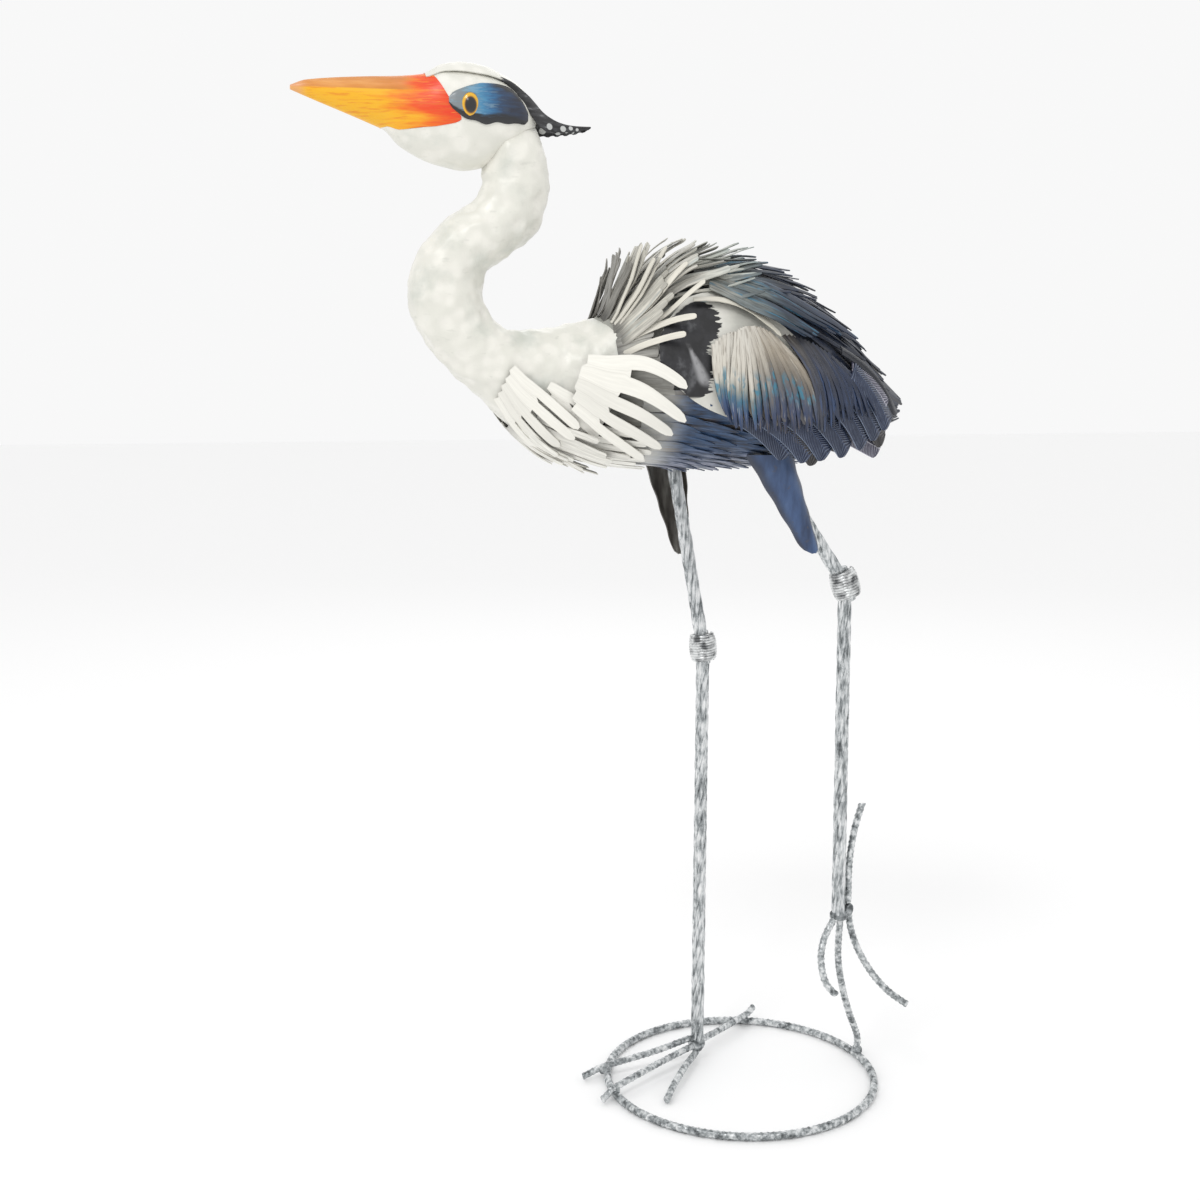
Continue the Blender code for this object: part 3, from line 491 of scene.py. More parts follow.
def bird_coordinates(tree):
    """Object coordinates, counted from the ring's centre."""
    place = add(tree, "TexCoord", {}).outputs["Object"]
    return stretched(tree, place, (1, 1, 1), place=tuple(-GROUND))


def split(tree, vector):
    node = add(tree, "SeparateXYZ", {0: vector})
    return node.outputs[0], node.outputs[1], node.outputs[2]


def feather_marks(tree):
    """Along, across, tone and shade of each feather, and its own flat coordinates."""
    marks = add(tree, "Attribute", {}, attribute_name="lay")
    parts = add(tree, "SeparateColor", {0: marks.outputs["Color"]})
    flat = add(tree, "UVMap", {}, uv_map="UVMap").outputs[0]
    return parts.outputs[0], parts.outputs[1], parts.outputs[2], flat


def from_middle(tree, across):
    """Distance from the middle line of a feather: 0 there and 0.5 at its edges."""
    return sums(tree, "ABSOLUTE", sums(tree, "SUBTRACT", across, 0.5))


def new_paint(name, roughness, metallic=0.0, coat=0.0):
    """A material with its tree and its shader, ready for a colour."""
    finish = bpy.data.materials.new(name)
    finish.use_nodes = True
    tree = finish.node_tree
    shader = tree.nodes["Principled BSDF"]
    shader.inputs["Roughness"].default_value = roughness
    shader.inputs["Metallic"].default_value = metallic
    shader.inputs["Coat Weight"].default_value = coat
    shader.inputs["Coat Roughness"].default_value = 0.25
    return finish, tree, shader


def wear(tree, shader, height, distance, strength=1.0):
    """Raises the surface a little by a height between 0 and 1."""
    relief = add(tree, "Bump", {"Height": height, "Distance": distance, "Strength": strength})
    tree.links.new(relief.outputs[0], shader.inputs["Normal"])


CREAM = tint(248, 246, 237)
BONE = tint(214, 211, 198)
SAGE = tint(196, 203, 194)
MIST = tint(168, 182, 182)
TEAL = tint(70, 128, 150)
SLATE = tint(70, 82, 100)
BLACK = tint(30, 31, 35)
EDGE_SHADOW = tint(112, 103, 92)


def primer_paint():
    finish, tree, shader = new_paint("primer_grey", 0.55, 0.15)
    place = bird_coordinates(tree)
    cloud = speckle(tree, place, 60.0, 4.0)
    colour = layer(tree, spread(tree, cloud, 0.35, 0.68), tint(104, 104, 101), tint(160, 160, 154))
    tree.links.new(colour, shader.inputs["Base Color"])
    wear(tree, shader, speckle(tree, place, 500.0), 0.0002, 0.4)
    return finish


def shell_paint():
    """Cream brushed paint on the hammered shells, sage grey patches that grow towards the lower rear and a
    bone tone low down; painted shade: a sage darkening that follows the hammer dents.
    """
    finish, tree, shader = new_paint("cream_shell", 0.36, 0.0, 0.15)
    place = bird_coordinates(tree)
    x, _, z = split(tree, place)
    cloud = speckle(tree, place, 26.0, 5.0)
    fine = speckle(tree, stretched(tree, place, (1, 1, 2.2)), 85.0, 5.0)
    behind = spread(tree, sums(tree, "ADD", x, sums(tree, "MULTIPLY", z, -0.55)), -0.66, -0.50)
    patches = sums(tree, "ADD", cloud, sums(tree, "MULTIPLY", behind, 0.14))
    colour = layer(tree, spread(tree, patches, 0.52, 0.80, 0.0, 0.55), CREAM, SAGE)
    colour = layer(tree, spread(tree, fine, 0.60, 0.78, 0.0, 0.22), colour, tint(160, 165, 156))
    colour = layer(tree, spread(tree, z, 0.66, 0.63, 0.0, 0.25), colour, BONE)
    dents = add(
        tree, "TexVoronoi", {"Vector": place, "Scale": 78.0, "Smoothness": 0.8}, feature="SMOOTH_F1"
    ).outputs["Distance"]
    hollows = spread(tree, dents, 0.10, 0.60)
    # painted shade: sage multiplied into the paint in the pattern of the hammer dents
    colour = layer(tree, spread(tree, dents, 0.20, 0.62, 0.0, 0.20), colour, SAGE, "MULTIPLY")
    tree.links.new(colour, shader.inputs["Base Color"])
    marks = speckle(tree, stretched(tree, place, (3, 1, 1)), 170.0, 3.0)
    height = sums(tree, "ADD", sums(tree, "MULTIPLY", hollows, 0.8), sums(tree, "MULTIPLY", marks, 0.2))
    wear(tree, shader, height, 0.0016, 0.55)
    return finish


def strip_paint(
    name,
    stops,
    streaks=TEAL,
    streak_amount=0.0,
    root_shade=0.55,
    brushed=0.25,
    edge_shadow=0.25,
):
    """Brushed paint on cut strips: colour changes towards the tail, each strip in its own tone, with
    painted shadow towards each strip's root and along its edges.
    """
    finish, tree, shader = new_paint(name, 0.40, 0.0, 0.1)
    x, _, _ = split(tree, bird_coordinates(tree))
    along, across, tone, flat = feather_marks(tree)
    drift = speckle(tree, bird_coordinates(tree), 26.0, 2.0)
    way = spread(tree, x, -0.16, 0.13)
    way = sums(tree, "ADD", way, swing(tree, tone, 0.16))
    way = sums(tree, "ADD", way, swing(tree, drift, 0.30))
    colour = ramp(tree, way, stops)
    brush = speckle(tree, stretched(tree, flat, (4.0, 0.35, 1.0)), 1.3, 3.0)
    light = spread(tree, brush, 0.35, 0.70, 1 - brushed * 0.7, 1 + brushed * 0.45)
    light = sums(tree, "MULTIPLY", light, spread(tree, tone, 0.0, 1.0, 1 - brushed * 0.5, 1.05))
    shade = add(tree, "CombineColor", {0: light, 1: light, 2: light}).outputs[0]
    colour = layer(tree, 1.0, colour, shade, "MULTIPLY")
    if streak_amount:
        strokes = speckle(tree, stretched(tree, flat, (2.4, 0.22, 1.0)), 1.0, 3.0)
        strokes = spread(tree, strokes, 0.54, 0.66, 0.0, streak_amount)
        colour = layer(tree, strokes, colour, streaks)
    # painted shadow: each strip darkens towards its root, where it tucks under the row in front
    root_shadow = spread(tree, along, 0.0, 0.35, root_shade, 0.0)
    colour = layer(tree, root_shadow, colour, tint(60, 62, 64), "MULTIPLY")
    # painted shadow: a thin brown-grey darkening along each strip's edges
    edge = from_middle(tree, across)
    colour = layer(tree, spread(tree, edge, 0.40, 0.5, 0.0, edge_shadow), colour, EDGE_SHADOW)
    tree.links.new(colour, shader.inputs["Base Color"])
    wear(tree, shader, brush, 0.0003, 0.4)
    return finish


def fan_paint():
    """Pleated coverts: bone white, then teal and blue tips in front, warm brown and grey behind, with
    painted shade along each finger's edges.
    """
    finish, tree, shader = new_paint("covert_paint", 0.40, 0.0, 0.12)
    x, _, _ = split(tree, bird_coordinates(tree))
    along, across, tone, flat = feather_marks(tree)
    way = sums(tree, "ADD", along, swing(tree, tone, 0.22))
    front = ramp(
        tree,
        way,
        (
            (0.0, tint(222, 218, 208)),
            (0.50, tint(216, 211, 199)),
            (0.62, tint(160, 166, 160)),
            (0.72, tint(70, 112, 138)),
            (0.86, tint(54, 78, 118)),
            (1.0, tint(40, 58, 92)),
        ),
    )
    rear = ramp(
        tree,
        way,
        (
            (0.0, tint(190, 182, 168)),
            (0.25, tint(166, 156, 140)),
            (0.46, tint(122, 116, 108)),
            (0.64, tint(84, 92, 108)),
            (0.82, tint(52, 66, 98)),
            (1.0, tint(36, 46, 72)),
        ),
    )
    rearward = sums(tree, "ADD", x, swing(tree, tone, 0.02))
    colour = layer(tree, spread(tree, rearward, -0.044, -0.008), front, rear)
    blots = speckle(tree, stretched(tree, flat, (1.6, 0.8, 1.0)), 0.9, 2.0)
    band = sums(tree, "MULTIPLY", spread(tree, way, 0.40, 0.56), spread(tree, way, 0.80, 0.62))
    teal = sums(tree, "MULTIPLY", spread(tree, blots, 0.50, 0.60), band)
    colour = layer(tree, sums(tree, "MULTIPLY", teal, 0.85), colour, tint(56, 132, 158))
    brush = speckle(tree, stretched(tree, flat, (5.0, 0.35, 1.0)), 1.5, 4.0)
    colour = layer(tree, spread(tree, brush, 0.50, 0.68, 0.0, 0.62), colour, tint(126, 114, 100))
    colour = layer(tree, spread(tree, brush, 0.42, 0.30, 0.0, 0.35), colour, tint(232, 228, 216))
    # painted shade: the gaps between the pleated fingers are darkened into the paint
    fold = from_middle(tree, across)
    colour = layer(tree, spread(tree, fold, 0.34, 0.5, 0.0, 0.80), colour, tint(92, 80, 70), "MULTIPLY")
    tree.links.new(colour, shader.inputs["Base Color"])
    wear(tree, shader, brush, 0.0004, 0.6)
    return finish


def barb_paint(name, low, high, shaft, lines=0.85):
    """Grooved feathers over a dark coat with a pale line along the edges; the pale colour on the raised
    barb rows is a painted highlight of the light each ridge catches on the primaries and the pale barring
    on the tail.
    """
    finish, tree, shader = new_paint(name, 0.38, 0.1, 0.1)
    _, across, tone, flat = feather_marks(tree)
    barbs = add(tree, "Attribute", {}, attribute_name="barb").outputs["Fac"]
    rub = speckle(tree, flat, 1.2, 3.0)
    patchy = spread(tree, rub, 0.30, 0.60, 0.45, 1.0)
    # painted highlight: pale colour on the raised barb rows stands for light caught by each ridge of the
    # primaries; on the pale tail it makes the barring
    crest = sums(tree, "MULTIPLY", spread(tree, barbs, 0.55, 1.0, 0.0, lines), patchy)
    colour = layer(tree, crest, low, high)
    colour = layer(tree, spread(tree, tone, 0.0, 1.0, 0.0, 0.22), colour, BLACK)
    middle = from_middle(tree, across)
    colour = layer(tree, spread(tree, middle, 0.030, 0.012, 0.0, 0.7), colour, shaft)
    colour = layer(tree, spread(tree, middle, 0.462, 0.49, 0.0, 0.7), colour, high)
    tree.links.new(colour, shader.inputs["Base Color"])
    wear(tree, shader, speckle(tree, flat, 9.0, 2.0), 0.0002, 0.4)
    return finish


def belly_paint():
    """Blue strips with bands of bare brownish metal, paler underneath."""
    finish, tree, shader = new_paint("belly_paint", 0.40, 0.05, 0.1)
    x, _, z = split(tree, bird_coordinates(tree))
    along, across, tone, flat = feather_marks(tree)
    brush = speckle(tree, stretched(tree, flat, (3.0, 0.5, 1.0)), 1.2, 4.0)
    colour = ramp(
        tree,
        brush,
        (
            (0.30, tint(26, 32, 48)),
            (0.46, tint(38, 60, 90)),
            (0.60, tint(48, 78, 114)),
            (0.75, tint(86, 104, 138)),
        ),
    )
    patch = sums(tree, "ADD", along, sums(tree, "MULTIPLY", tone, 0.60))
    colour = layer(tree, spread(tree, patch, 0.66, 0.40, 0.0, 0.85), colour, tint(96, 86, 78))
    pale = sums(tree, "MULTIPLY", spread(tree, z, 0.648, 0.625), spread(tree, brush, 0.42, 0.62))
    colour = layer(tree, sums(tree, "MULTIPLY", pale, 0.7), colour, tint(158, 158, 172))
    front = spread(tree, x, -0.080, -0.118, 0.0, 0.9)
    colour = layer(tree, front, colour, tint(204, 204, 198))
    edge = from_middle(tree, across)
    colour = layer(tree, spread(tree, edge, 0.43, 0.5, 0.0, 0.45), colour, tint(150, 158, 176))
    tree.links.new(colour, shader.inputs["Base Color"])
    wear(tree, shader, brush, 0.0004, 0.5)
    return finish


# Height and place of the black shoulder patch's front edge, then of its rear edge.
PATCH_LEFT = (
    (0.691, -0.0900),
    (0.700, -0.0990),
    (0.708, -0.1060),
    (0.714, -0.1110),
    (0.722, -0.1140),
    (0.736, -0.1170),
    (0.741, -0.1165),
    (0.756, -0.1050),
    (0.764, -0.0970),
    (0.772, -0.0860),
    (0.778, -0.0760),
)
PATCH_RIGHT = (
    (0.691, -0.077),
    (0.697, -0.069),
    (0.708, -0.064),
    (0.718, -0.0645),
    (0.727, -0.0665),
    (0.736, -0.068),
    (0.745, -0.0625),
    (0.756, -0.0575),
    (0.764, -0.0580),
    (0.772, -0.0625),
    (0.778, -0.069),
)


def shoulder_paint():
    """Grey white plate with a smoky black patch whose rear edge is brushed out like feathers."""
    finish, tree, shader = new_paint("shoulder_paint", 0.38, 0.0, 0.15)
    place = bird_coordinates(tree)
    x, _, z = split(tree, place)
    cloud = speckle(tree, place, 34.0, 5.0)
    colour = ramp(
        tree,
        cloud,
        ((0.30, tint(190, 190, 182)), (0.50, tint(220, 219, 210)), (0.70, tint(234, 232, 224))),
    )
    low_z, high_z, left_x, wide = 0.685, 0.785, -0.120, 0.070
    level = add(
        tree,
        "MapRange",
        {"Value": z, "From Min": low_z, "From Max": high_z, "To Min": 0.0, "To Max": 1.0},
    ).outputs[0]

    def edge_place(outline):
        stops = []
        for height, place_x in outline:
            share = (place_x - left_x) / wide
            stops.append(((height - low_z) / (high_z - low_z), (share, share, share, 1.0)))
        return ramp(tree, level, stops)

    share = add(
        tree,
        "MapRange",
        {"Value": x, "From Min": left_x, "From Max": left_x + wide, "To Min": 0.0, "To Max": 1.0},
        clamp=False,
    ).outputs[0]
    hairs = speckle(tree, stretched(tree, place, (1.0, 1.0, 6.5), turn=(0, -0.35, 0)), 52.0, 3.0)
    fringe = swing(tree, hairs, 0.42)
    softer = sums(tree, "MULTIPLY", fringe, 0.30)
    inside_left = sums(tree, "SUBTRACT", sums(tree, "ADD", share, softer), edge_place(PATCH_LEFT))
    inside_right = sums(tree, "SUBTRACT", edge_place(PATCH_RIGHT), sums(tree, "ADD", share, fringe))
    mask = sums(
        tree,
        "MULTIPLY",
        spread(tree, inside_left, -0.012, 0.012),
        spread(tree, inside_right, -0.010, 0.014),
    )
    lengthwise = sums(
        tree, "MULTIPLY", spread(tree, z, 0.7775, 0.7755), spread(tree, z, 0.6885, 0.6915)
    )
    mask = sums(tree, "MULTIPLY", mask, lengthwise)
    smoke = speckle(tree, stretched(tree, place, (1.0, 1.0, 0.7)), 75.0, 4.0)
    middle = sums(tree, "ADD", x, 0.0810)
    middle = sums(tree, "ADD", middle, sums(tree, "MULTIPLY", sums(tree, "SUBTRACT", z, 0.7200), 0.42))
    reach = spread(tree, z, 0.735, 0.708, 0.0026, 0.0070)
    near = spread(tree, sums(tree, "DIVIDE", sums(tree, "ABSOLUTE", middle), reach), 1.1, 0.2)
    around = sums(tree, "MULTIPLY", spread(tree, z, 0.698, 0.706), spread(tree, z, 0.740, 0.730))
    puff = sums(tree, "MULTIPLY", sums(tree, "MULTIPLY", near, around), spread(tree, smoke, 0.30, 0.55))
    dark = ramp(
        tree,
        smoke,
        ((0.42, tint(20, 20, 23)), (0.58, tint(40, 40, 44)), (0.74, tint(96, 97, 100))),
    )
    dark = layer(tree, sums(tree, "MULTIPLY", puff, 0.85), dark, tint(176, 176, 178))
    colour = layer(tree, mask, colour, dark)
    tree.links.new(colour, shader.inputs["Base Color"])
    wear(tree, shader, sums(tree, "ADD", cloud, hairs), 0.0005, 0.5)
    return finish


def body_shade_paint():
    """Dark paint on the body under the feathers, from pale grey at the breast to navy at the rear: painted
    shade for the gaps between the feathers.
    """
    finish, tree, shader = new_paint("under_body_shade", 0.6, 0.1)
    place = bird_coordinates(tree)
    x, _, _ = split(tree, place)
    cloud = speckle(tree, place, 40.0, 4.0)
    # painted shade: darkens to navy towards the rear, where the body shows only in the shade between
    # feathers
    way = sums(tree, "ADD", spread(tree, x, -0.13, 0.02), swing(tree, cloud, 0.5))
    colour = ramp(
        tree,
        way,
        ((0.0, tint(168, 168, 160)), (0.5, tint(96, 104, 108)), (1.0, tint(36, 44, 60))),
    )
    tree.links.new(colour, shader.inputs["Base Color"])
    wear(tree, shader, cloud, 0.001, 0.5)
    return finish


def beak_paint():
    """Wet brush strokes from red at the face through orange to yellow, with painted shade making the upper
    facet above the mouth browner.
    """
    finish, tree, shader = new_paint("beak_paint", 0.34, 0.0, 0.15)
    place = bird_coordinates(tree)
    x, _, z = split(tree, place)
    strokes = speckle(tree, stretched(tree, place, (1.0, 1.0, 8.0), turn=(0, 0.16, 0)), 22.0, 4.0)
    fine = speckle(tree, stretched(tree, place, (0.8, 1.0, 11.0), turn=(0, 0.16, 0)), 55.0, 4.0)
    sway = swing(tree, strokes, 1.5)
    drop = sums(tree, "MULTIPLY", sums(tree, "SUBTRACT", 0.9500, z), 0.9)
    way = sums(tree, "ADD", sums(tree, "MULTIPLY", sums(tree, "ADD", x, 0.3520), 15.0), sway)
    way = sums(tree, "SUBTRACT", way, sums(tree, "MULTIPLY", drop, 6.0))
    colour = ramp(
        tree,
        way,
        (
            (0.0, tint(254, 188, 14)),
            (0.22, tint(252, 164, 10)),
            (0.46, tint(250, 122, 8)),
            (0.66, tint(246, 82, 8)),
            (1.0, tint(242, 58, 12)),
        ),
    )
    colour = layer(tree, spread(tree, fine, 0.53, 0.66, 0.0, 0.50), colour, tint(234, 112, 28))
    colour = layer(tree, spread(tree, fine, 0.44, 0.34, 0.0, 0.35), colour, tint(254, 196, 50))
    # painted shade: the upper facet above the crease is painted browner, with lighter strokes, as a facet
    # turned away from the light
    crease = sums(tree, "ADD", 0.9580, sums(tree, "MULTIPLY", sums(tree, "ADD", x, 0.4200), -0.010))
    upper = spread(tree, sums(tree, "SUBTRACT", z, crease), -0.0006, 0.0008)
    over = ramp(
        tree,
        strokes,
        ((0.32, tint(204, 118, 50)), (0.50, tint(222, 138, 66)), (0.66, tint(238, 166, 96))),
    )
    front = spread(tree, sums(tree, "ADD", x, sums(tree, "MULTIPLY", sway, 0.01)), -0.316, -0.334)
    upper = sums(tree, "MULTIPLY", upper, front)
    colour = layer(tree, sums(tree, "MULTIPLY", upper, 0.85), colour, over)
    tip = spread(tree, x, -0.410, -0.421, 0.0, 0.7)
    colour = layer(tree, tip, colour, tint(238, 172, 124))
    tree.links.new(colour, shader.inputs["Base Color"])
    height = sums(tree, "ADD", strokes, sums(tree, "MULTIPLY", fine, 0.6))
    wear(tree, shader, height, 0.0007, 0.6)
    return finish


def eye_patch_paint():
    """Blue brushed back from the eye to navy, a grey front and a black border."""
    finish, tree, shader = new_paint("eye_patch_paint", 0.30, 0.0, 0.3)
    place = bird_coordinates(tree)
    x, _, _ = split(tree, place)
    _, across, _, _ = feather_marks(tree)
    strokes = speckle(tree, stretched(tree, place, (1.0, 1.0, 6.0), turn=(0, 0.20, 0)), 60.0, 4.0)
    sway = swing(tree, strokes, 0.70)
    way = sums(tree, "ADD", spread(tree, x, -0.292, -0.222), sway)
    colour = ramp(
        tree,
        way,
        (
            (0.02, tint(132, 140, 144)),
            (0.18, tint(118, 148, 164)),
            (0.34, tint(74, 142, 182)),
            (0.55, tint(44, 104, 150)),
            (0.74, tint(38, 62, 94)),
            (1.0, tint(32, 38, 56)),
        ),
    )
    light = sums(tree, "MULTIPLY", spread(tree, strokes, 0.54, 0.64), spread(tree, x, -0.236, -0.258))
    colour = layer(tree, sums(tree, "MULTIPLY", light, 0.45), colour, tint(150, 186, 204))
    wobble = swing(tree, strokes, 0.30)
    border = sums(tree, "ADD", across, wobble)
    colour = layer(tree, spread(tree, border, 0.26, 0.15), colour, BLACK)
    behind = spread(tree, x, -0.262, -0.244)
    rim = sums(tree, "MULTIPLY", spread(tree, border, 0.78, 0.90), behind)
    colour = layer(tree, rim, colour, BLACK)
    tree.links.new(colour, shader.inputs["Base Color"])
    wear(tree, shader, strokes, 0.0004, 0.5)
    return finish


def eye_paint():
    finish, tree, shader = new_paint("eye_paint", 0.12, 0.0, 0.6)
    x, _, z = split(tree, bird_coordinates(tree))
    across = sums(tree, "DIVIDE", sums(tree, "SUBTRACT", x, EYE.x - 0.0004), EYE_HALF_WIDTH)
    up = sums(tree, "DIVIDE", sums(tree, "SUBTRACT", z, EYE.z), IRIS_HALF_HEIGHT)
    square = sums(tree, "MULTIPLY", across, across)
    spot = sums(tree, "SQRT", sums(tree, "ADD", square, sums(tree, "MULTIPLY", up, up)))
    colour = ramp(
        tree,
        spot,
        (
            (0.54, tint(12, 10, 8)),
            (0.62, tint(120, 76, 8)),
            (0.72, tint(238, 178, 20)),
            (0.90, tint(244, 190, 28)),
            (0.99, tint(150, 110, 24)),
        ),
    )
    tree.links.new(colour, shader.inputs["Base Color"])
    return finish


def crest_paint():
    """Black plume with grey rubbed streaks and pale spots near the tip."""
    finish, tree, shader = new_paint("crest_paint", 0.42, 0.1, 0.1)
    place = bird_coordinates(tree)
    x, _, z = split(tree, place)
    rub = speckle(tree, stretched(tree, place, (1.0, 1.0, 5.0), turn=(0, 0.75, 0)), 70.0, 4.0)
    colour = ramp(
        tree,
        rub,
        ((0.48, tint(28, 28, 30)), (0.62, tint(64, 65, 68)), (0.74, tint(136, 137, 138))),
    )
    spots = (
        (-0.1985, 0.9310, 0.0030),
        (-0.1850, 0.9300, 0.0028),
        (-0.1775, 0.9310, 0.0020),
        (-0.1715, 0.9300, 0.0014),
    )
    for spot_x, spot_z, size in spots:
        across = sums(tree, "DIVIDE", sums(tree, "SUBTRACT", x, spot_x), size)
        up = sums(tree, "DIVIDE", sums(tree, "SUBTRACT", z, spot_z), size)
        square = sums(tree, "MULTIPLY", across, across)
        reach = sums(tree, "ADD", square, sums(tree, "MULTIPLY", up, up))
        colour = layer(tree, spread(tree, reach, 1.15, 0.75), colour, tint(202, 204, 202))
    tree.links.new(colour, shader.inputs["Base Color"])
    wear(tree, shader, rub, 0.0004, 0.6)
    return finish


def thigh_paint():
    finish, tree, shader = new_paint("thigh_paint", 0.42, 0.15, 0.1)
    place = bird_coordinates(tree)
    _, across, _, _ = feather_marks(tree)
    cloud = speckle(tree, stretched(tree, place, (2.0, 1.0, 0.5)), 40.0, 4.0)
    colour = ramp(
        tree,
        cloud,
        ((0.30, tint(44, 60, 90)), (0.52, tint(64, 88, 128)), (0.72, tint(84, 108, 146))),
    )
    spots = speckle(tree, place, 130.0, 3.0)
    colour = layer(tree, spread(tree, spots, 0.60, 0.72, 0.0, 0.5), colour, tint(84, 78, 76))
    # painted shade: darker towards the plate's edges, where the rolled sheet turns away from the light
    edge = from_middle(tree, across)
    colour = layer(tree, spread(tree, edge, 0.26, 0.5, 0.0, 0.75), colour, tint(40, 42, 52))
    tree.links.new(colour, shader.inputs["Base Color"])
    wear(tree, shader, cloud, 0.0008, 0.5)
    return finish


def galvanised(name, stretch, dark=0.0):
    """Zinc-coated rod: bright and dull streaks along its length."""
    finish, tree, shader = new_paint(name, 0.34, 0.60)
    place = bird_coordinates(tree)
    streak = speckle(tree, stretched(tree, place, stretch), 150.0, 4.0, 0.6)
    cloud = speckle(tree, place, 90.0, 3.0)
    both = sums(tree, "ADD", sums(tree, "MULTIPLY", streak, 0.65), sums(tree, "MULTIPLY", cloud, 0.35))
    both = sums(tree, "SUBTRACT", both, dark)
    colour = ramp(
        tree,
        both,
        (
            (0.35, tint(92, 96, 98)),
            (0.45, tint(164, 169, 171)),
            (0.54, tint(224, 227, 228)),
            (0.64, tint(255, 255, 255)),
        ),
    )
    tree.links.new(colour, shader.inputs["Base Color"])
    rough = spread(tree, cloud, 0.35, 0.65, 0.26, 0.52)
    tree.links.new(rough, shader.inputs["Roughness"])
    wear(tree, shader, streak, 0.0005, 0.7)
    return finish


def dark_metal_paint():
    """Bare grey brown metal on the inner side of the thigh plates."""
    finish, tree, shader = new_paint("inner_metal", 0.45, 0.35)
    place = bird_coordinates(tree)
    cloud = speckle(tree, stretched(tree, place, (2.0, 1.0, 0.4)), 55.0, 4.0)
    colour = ramp(
        tree,
        cloud,
        ((0.32, tint(66, 62, 58)), (0.52, tint(104, 100, 94)), (0.70, tint(146, 144, 138))),
    )
    tree.links.new(colour, shader.inputs["Base Color"])
    wear(tree, shader, cloud, 0.0006, 0.5)
    return finish


def coil_paint():
    finish, tree, shader = new_paint("wound_wire", 0.30, 0.85)
    place = bird_coordinates(tree)
    cloud = speckle(tree, place, 120.0, 3.0)
    colour = ramp(tree, cloud, ((0.35, tint(110, 112, 114)), (0.60, tint(238, 240, 240))))
    tree.links.new(colour, shader.inputs["Base Color"])
    wear(tree, shader, cloud, 0.0002, 0.4)
    return finish


PRIMER_PAINT = primer_paint()
SHELL_PAINT = shell_paint()
BREAST_PAINT = strip_paint(
    "breast_paint",
    ((0.0, CREAM), (1.0, tint(242, 240, 232))),
    root_shade=0.0,
    brushed=0.06,
    edge_shadow=0.10,
)
PLUME_PAINT = strip_paint(
    "plume_paint",
    ((0.0, CREAM), (0.5, tint(214, 216, 210)), (1.0, MIST)),
    root_shade=0.35,
    brushed=0.20,
)
# painted shade: grey strips painted darker still, standing for the shade under the bright strips
FLANK_SHADE_PAINT = strip_paint(
    "flank_shade_paint",
    ((0.0, tint(176, 174, 166)), (0.5, tint(160, 160, 154)), (1.0, tint(130, 136, 138))),
    root_shade=0.5,
    brushed=0.35,
)
BRIGHT_PAINT = strip_paint(
    "bright_strip_paint",
    ((0.0, tint(236, 232, 220)), (0.5, tint(232, 228, 214)), (1.0, CREAM)),
    root_shade=0.10,
    brushed=0.08,
    edge_shadow=0.15,
)
COLLAR_PAINT = strip_paint(
    "collar_paint",
    (
        (0.0, tint(216, 213, 202)),
        (0.24, tint(214, 211, 200)),
        (0.42, tint(198, 202, 194)),
        (0.60, tint(160, 178, 180)),
        (1.0, SLATE),
    ),
    streaks=tint(126, 160, 172),
    streak_amount=0.25,
    root_shade=0.75,
    brushed=0.34,
)
# painted shade: a darker grey copy of the collar paint, standing for the shade on the inner faces of the
# strips on the far side
FAR_SHADE_PAINT = strip_paint(
    "far_collar_shade_paint",
    ((0.0, tint(150, 148, 142)), (0.4, tint(178, 176, 168)), (1.0, MIST)),
    root_shade=0.6,
    brushed=0.35,
)
BACK_PAINT = strip_paint(
    "back_paint",
    (
        (0.28, tint(184, 184, 174)),
        (0.40, tint(140, 146, 144)),
        (0.50, tint(88, 98, 106)),
        (0.60, tint(58, 66, 80)),
        (0.74, tint(44, 54, 76)),
        (0.88, tint(36, 44, 62)),
    ),
    streaks=tint(74, 70, 66),
    streak_amount=0.45,
    root_shade=0.5,
    brushed=0.40,
)
FAN_PAINT = fan_paint()
BLADE_PAINT = strip_paint(
    "blade_paint",
    (
        (0.26, tint(196, 196, 186)),
        (0.38, tint(144, 152, 150)),
        (0.48, tint(90, 104, 112)),
        (0.60, tint(56, 70, 88)),
        (0.84, tint(40, 52, 76)),
    ),
    streaks=tint(52, 120, 150),
    streak_amount=0.70,
    root_shade=0.45,
    brushed=0.60,
)
DARK_PAINT = strip_paint(
    "dark_covert_paint",
    ((0.50, tint(132, 124, 112)), (0.62, tint(88, 88, 94)), (0.82, tint(42, 54, 80))),
    streaks=tint(58, 82, 124),
    streak_amount=0.65,
    root_shade=0.5,
    brushed=0.45,
    edge_shadow=0.0,
)
PRIMARY_PAINT = barb_paint("primary_paint", tint(30, 42, 70), tint(140, 154, 178), tint(64, 80, 112), 0.60)
BLACK_PRIMARY_PAINT = barb_paint(
    "black_primary_paint", tint(26, 26, 30), tint(112, 108, 106), tint(44, 42, 44)
)
TAIL_PAINT = barb_paint("tail_paint", tint(70, 70, 90), tint(212, 210, 224), tint(214, 214, 224))
EDGE_PAINT = barb_paint(
    "tail_edge_paint", tint(26, 30, 40), tint(52, 58, 70), tint(60, 66, 78), 0.5
)
BELLY_PAINT = belly_paint()
SHOULDER_PAINT = shoulder_paint()
BODY_SHADE_PAINT = body_shade_paint()
BEAK_PAINT = beak_paint()
PATCH_PAINT = eye_patch_paint()
EYE_PAINT = eye_paint()
CREST_PAINT = crest_paint()
THIGH_PAINT = thigh_paint()
LEG_PAINT = galvanised("galvanised_strands", (2.6, 2.6, 0.35))
ROD_PAINT = galvanised("galvanised_rod", (1.4, 1.4, 1.4), 0.02)
WELD_PAINT = galvanised("weld_bead", (1.0, 1.0, 1.0), 0.08)
COIL_PAINT = coil_paint()
INNER_PAINT = dark_metal_paint()


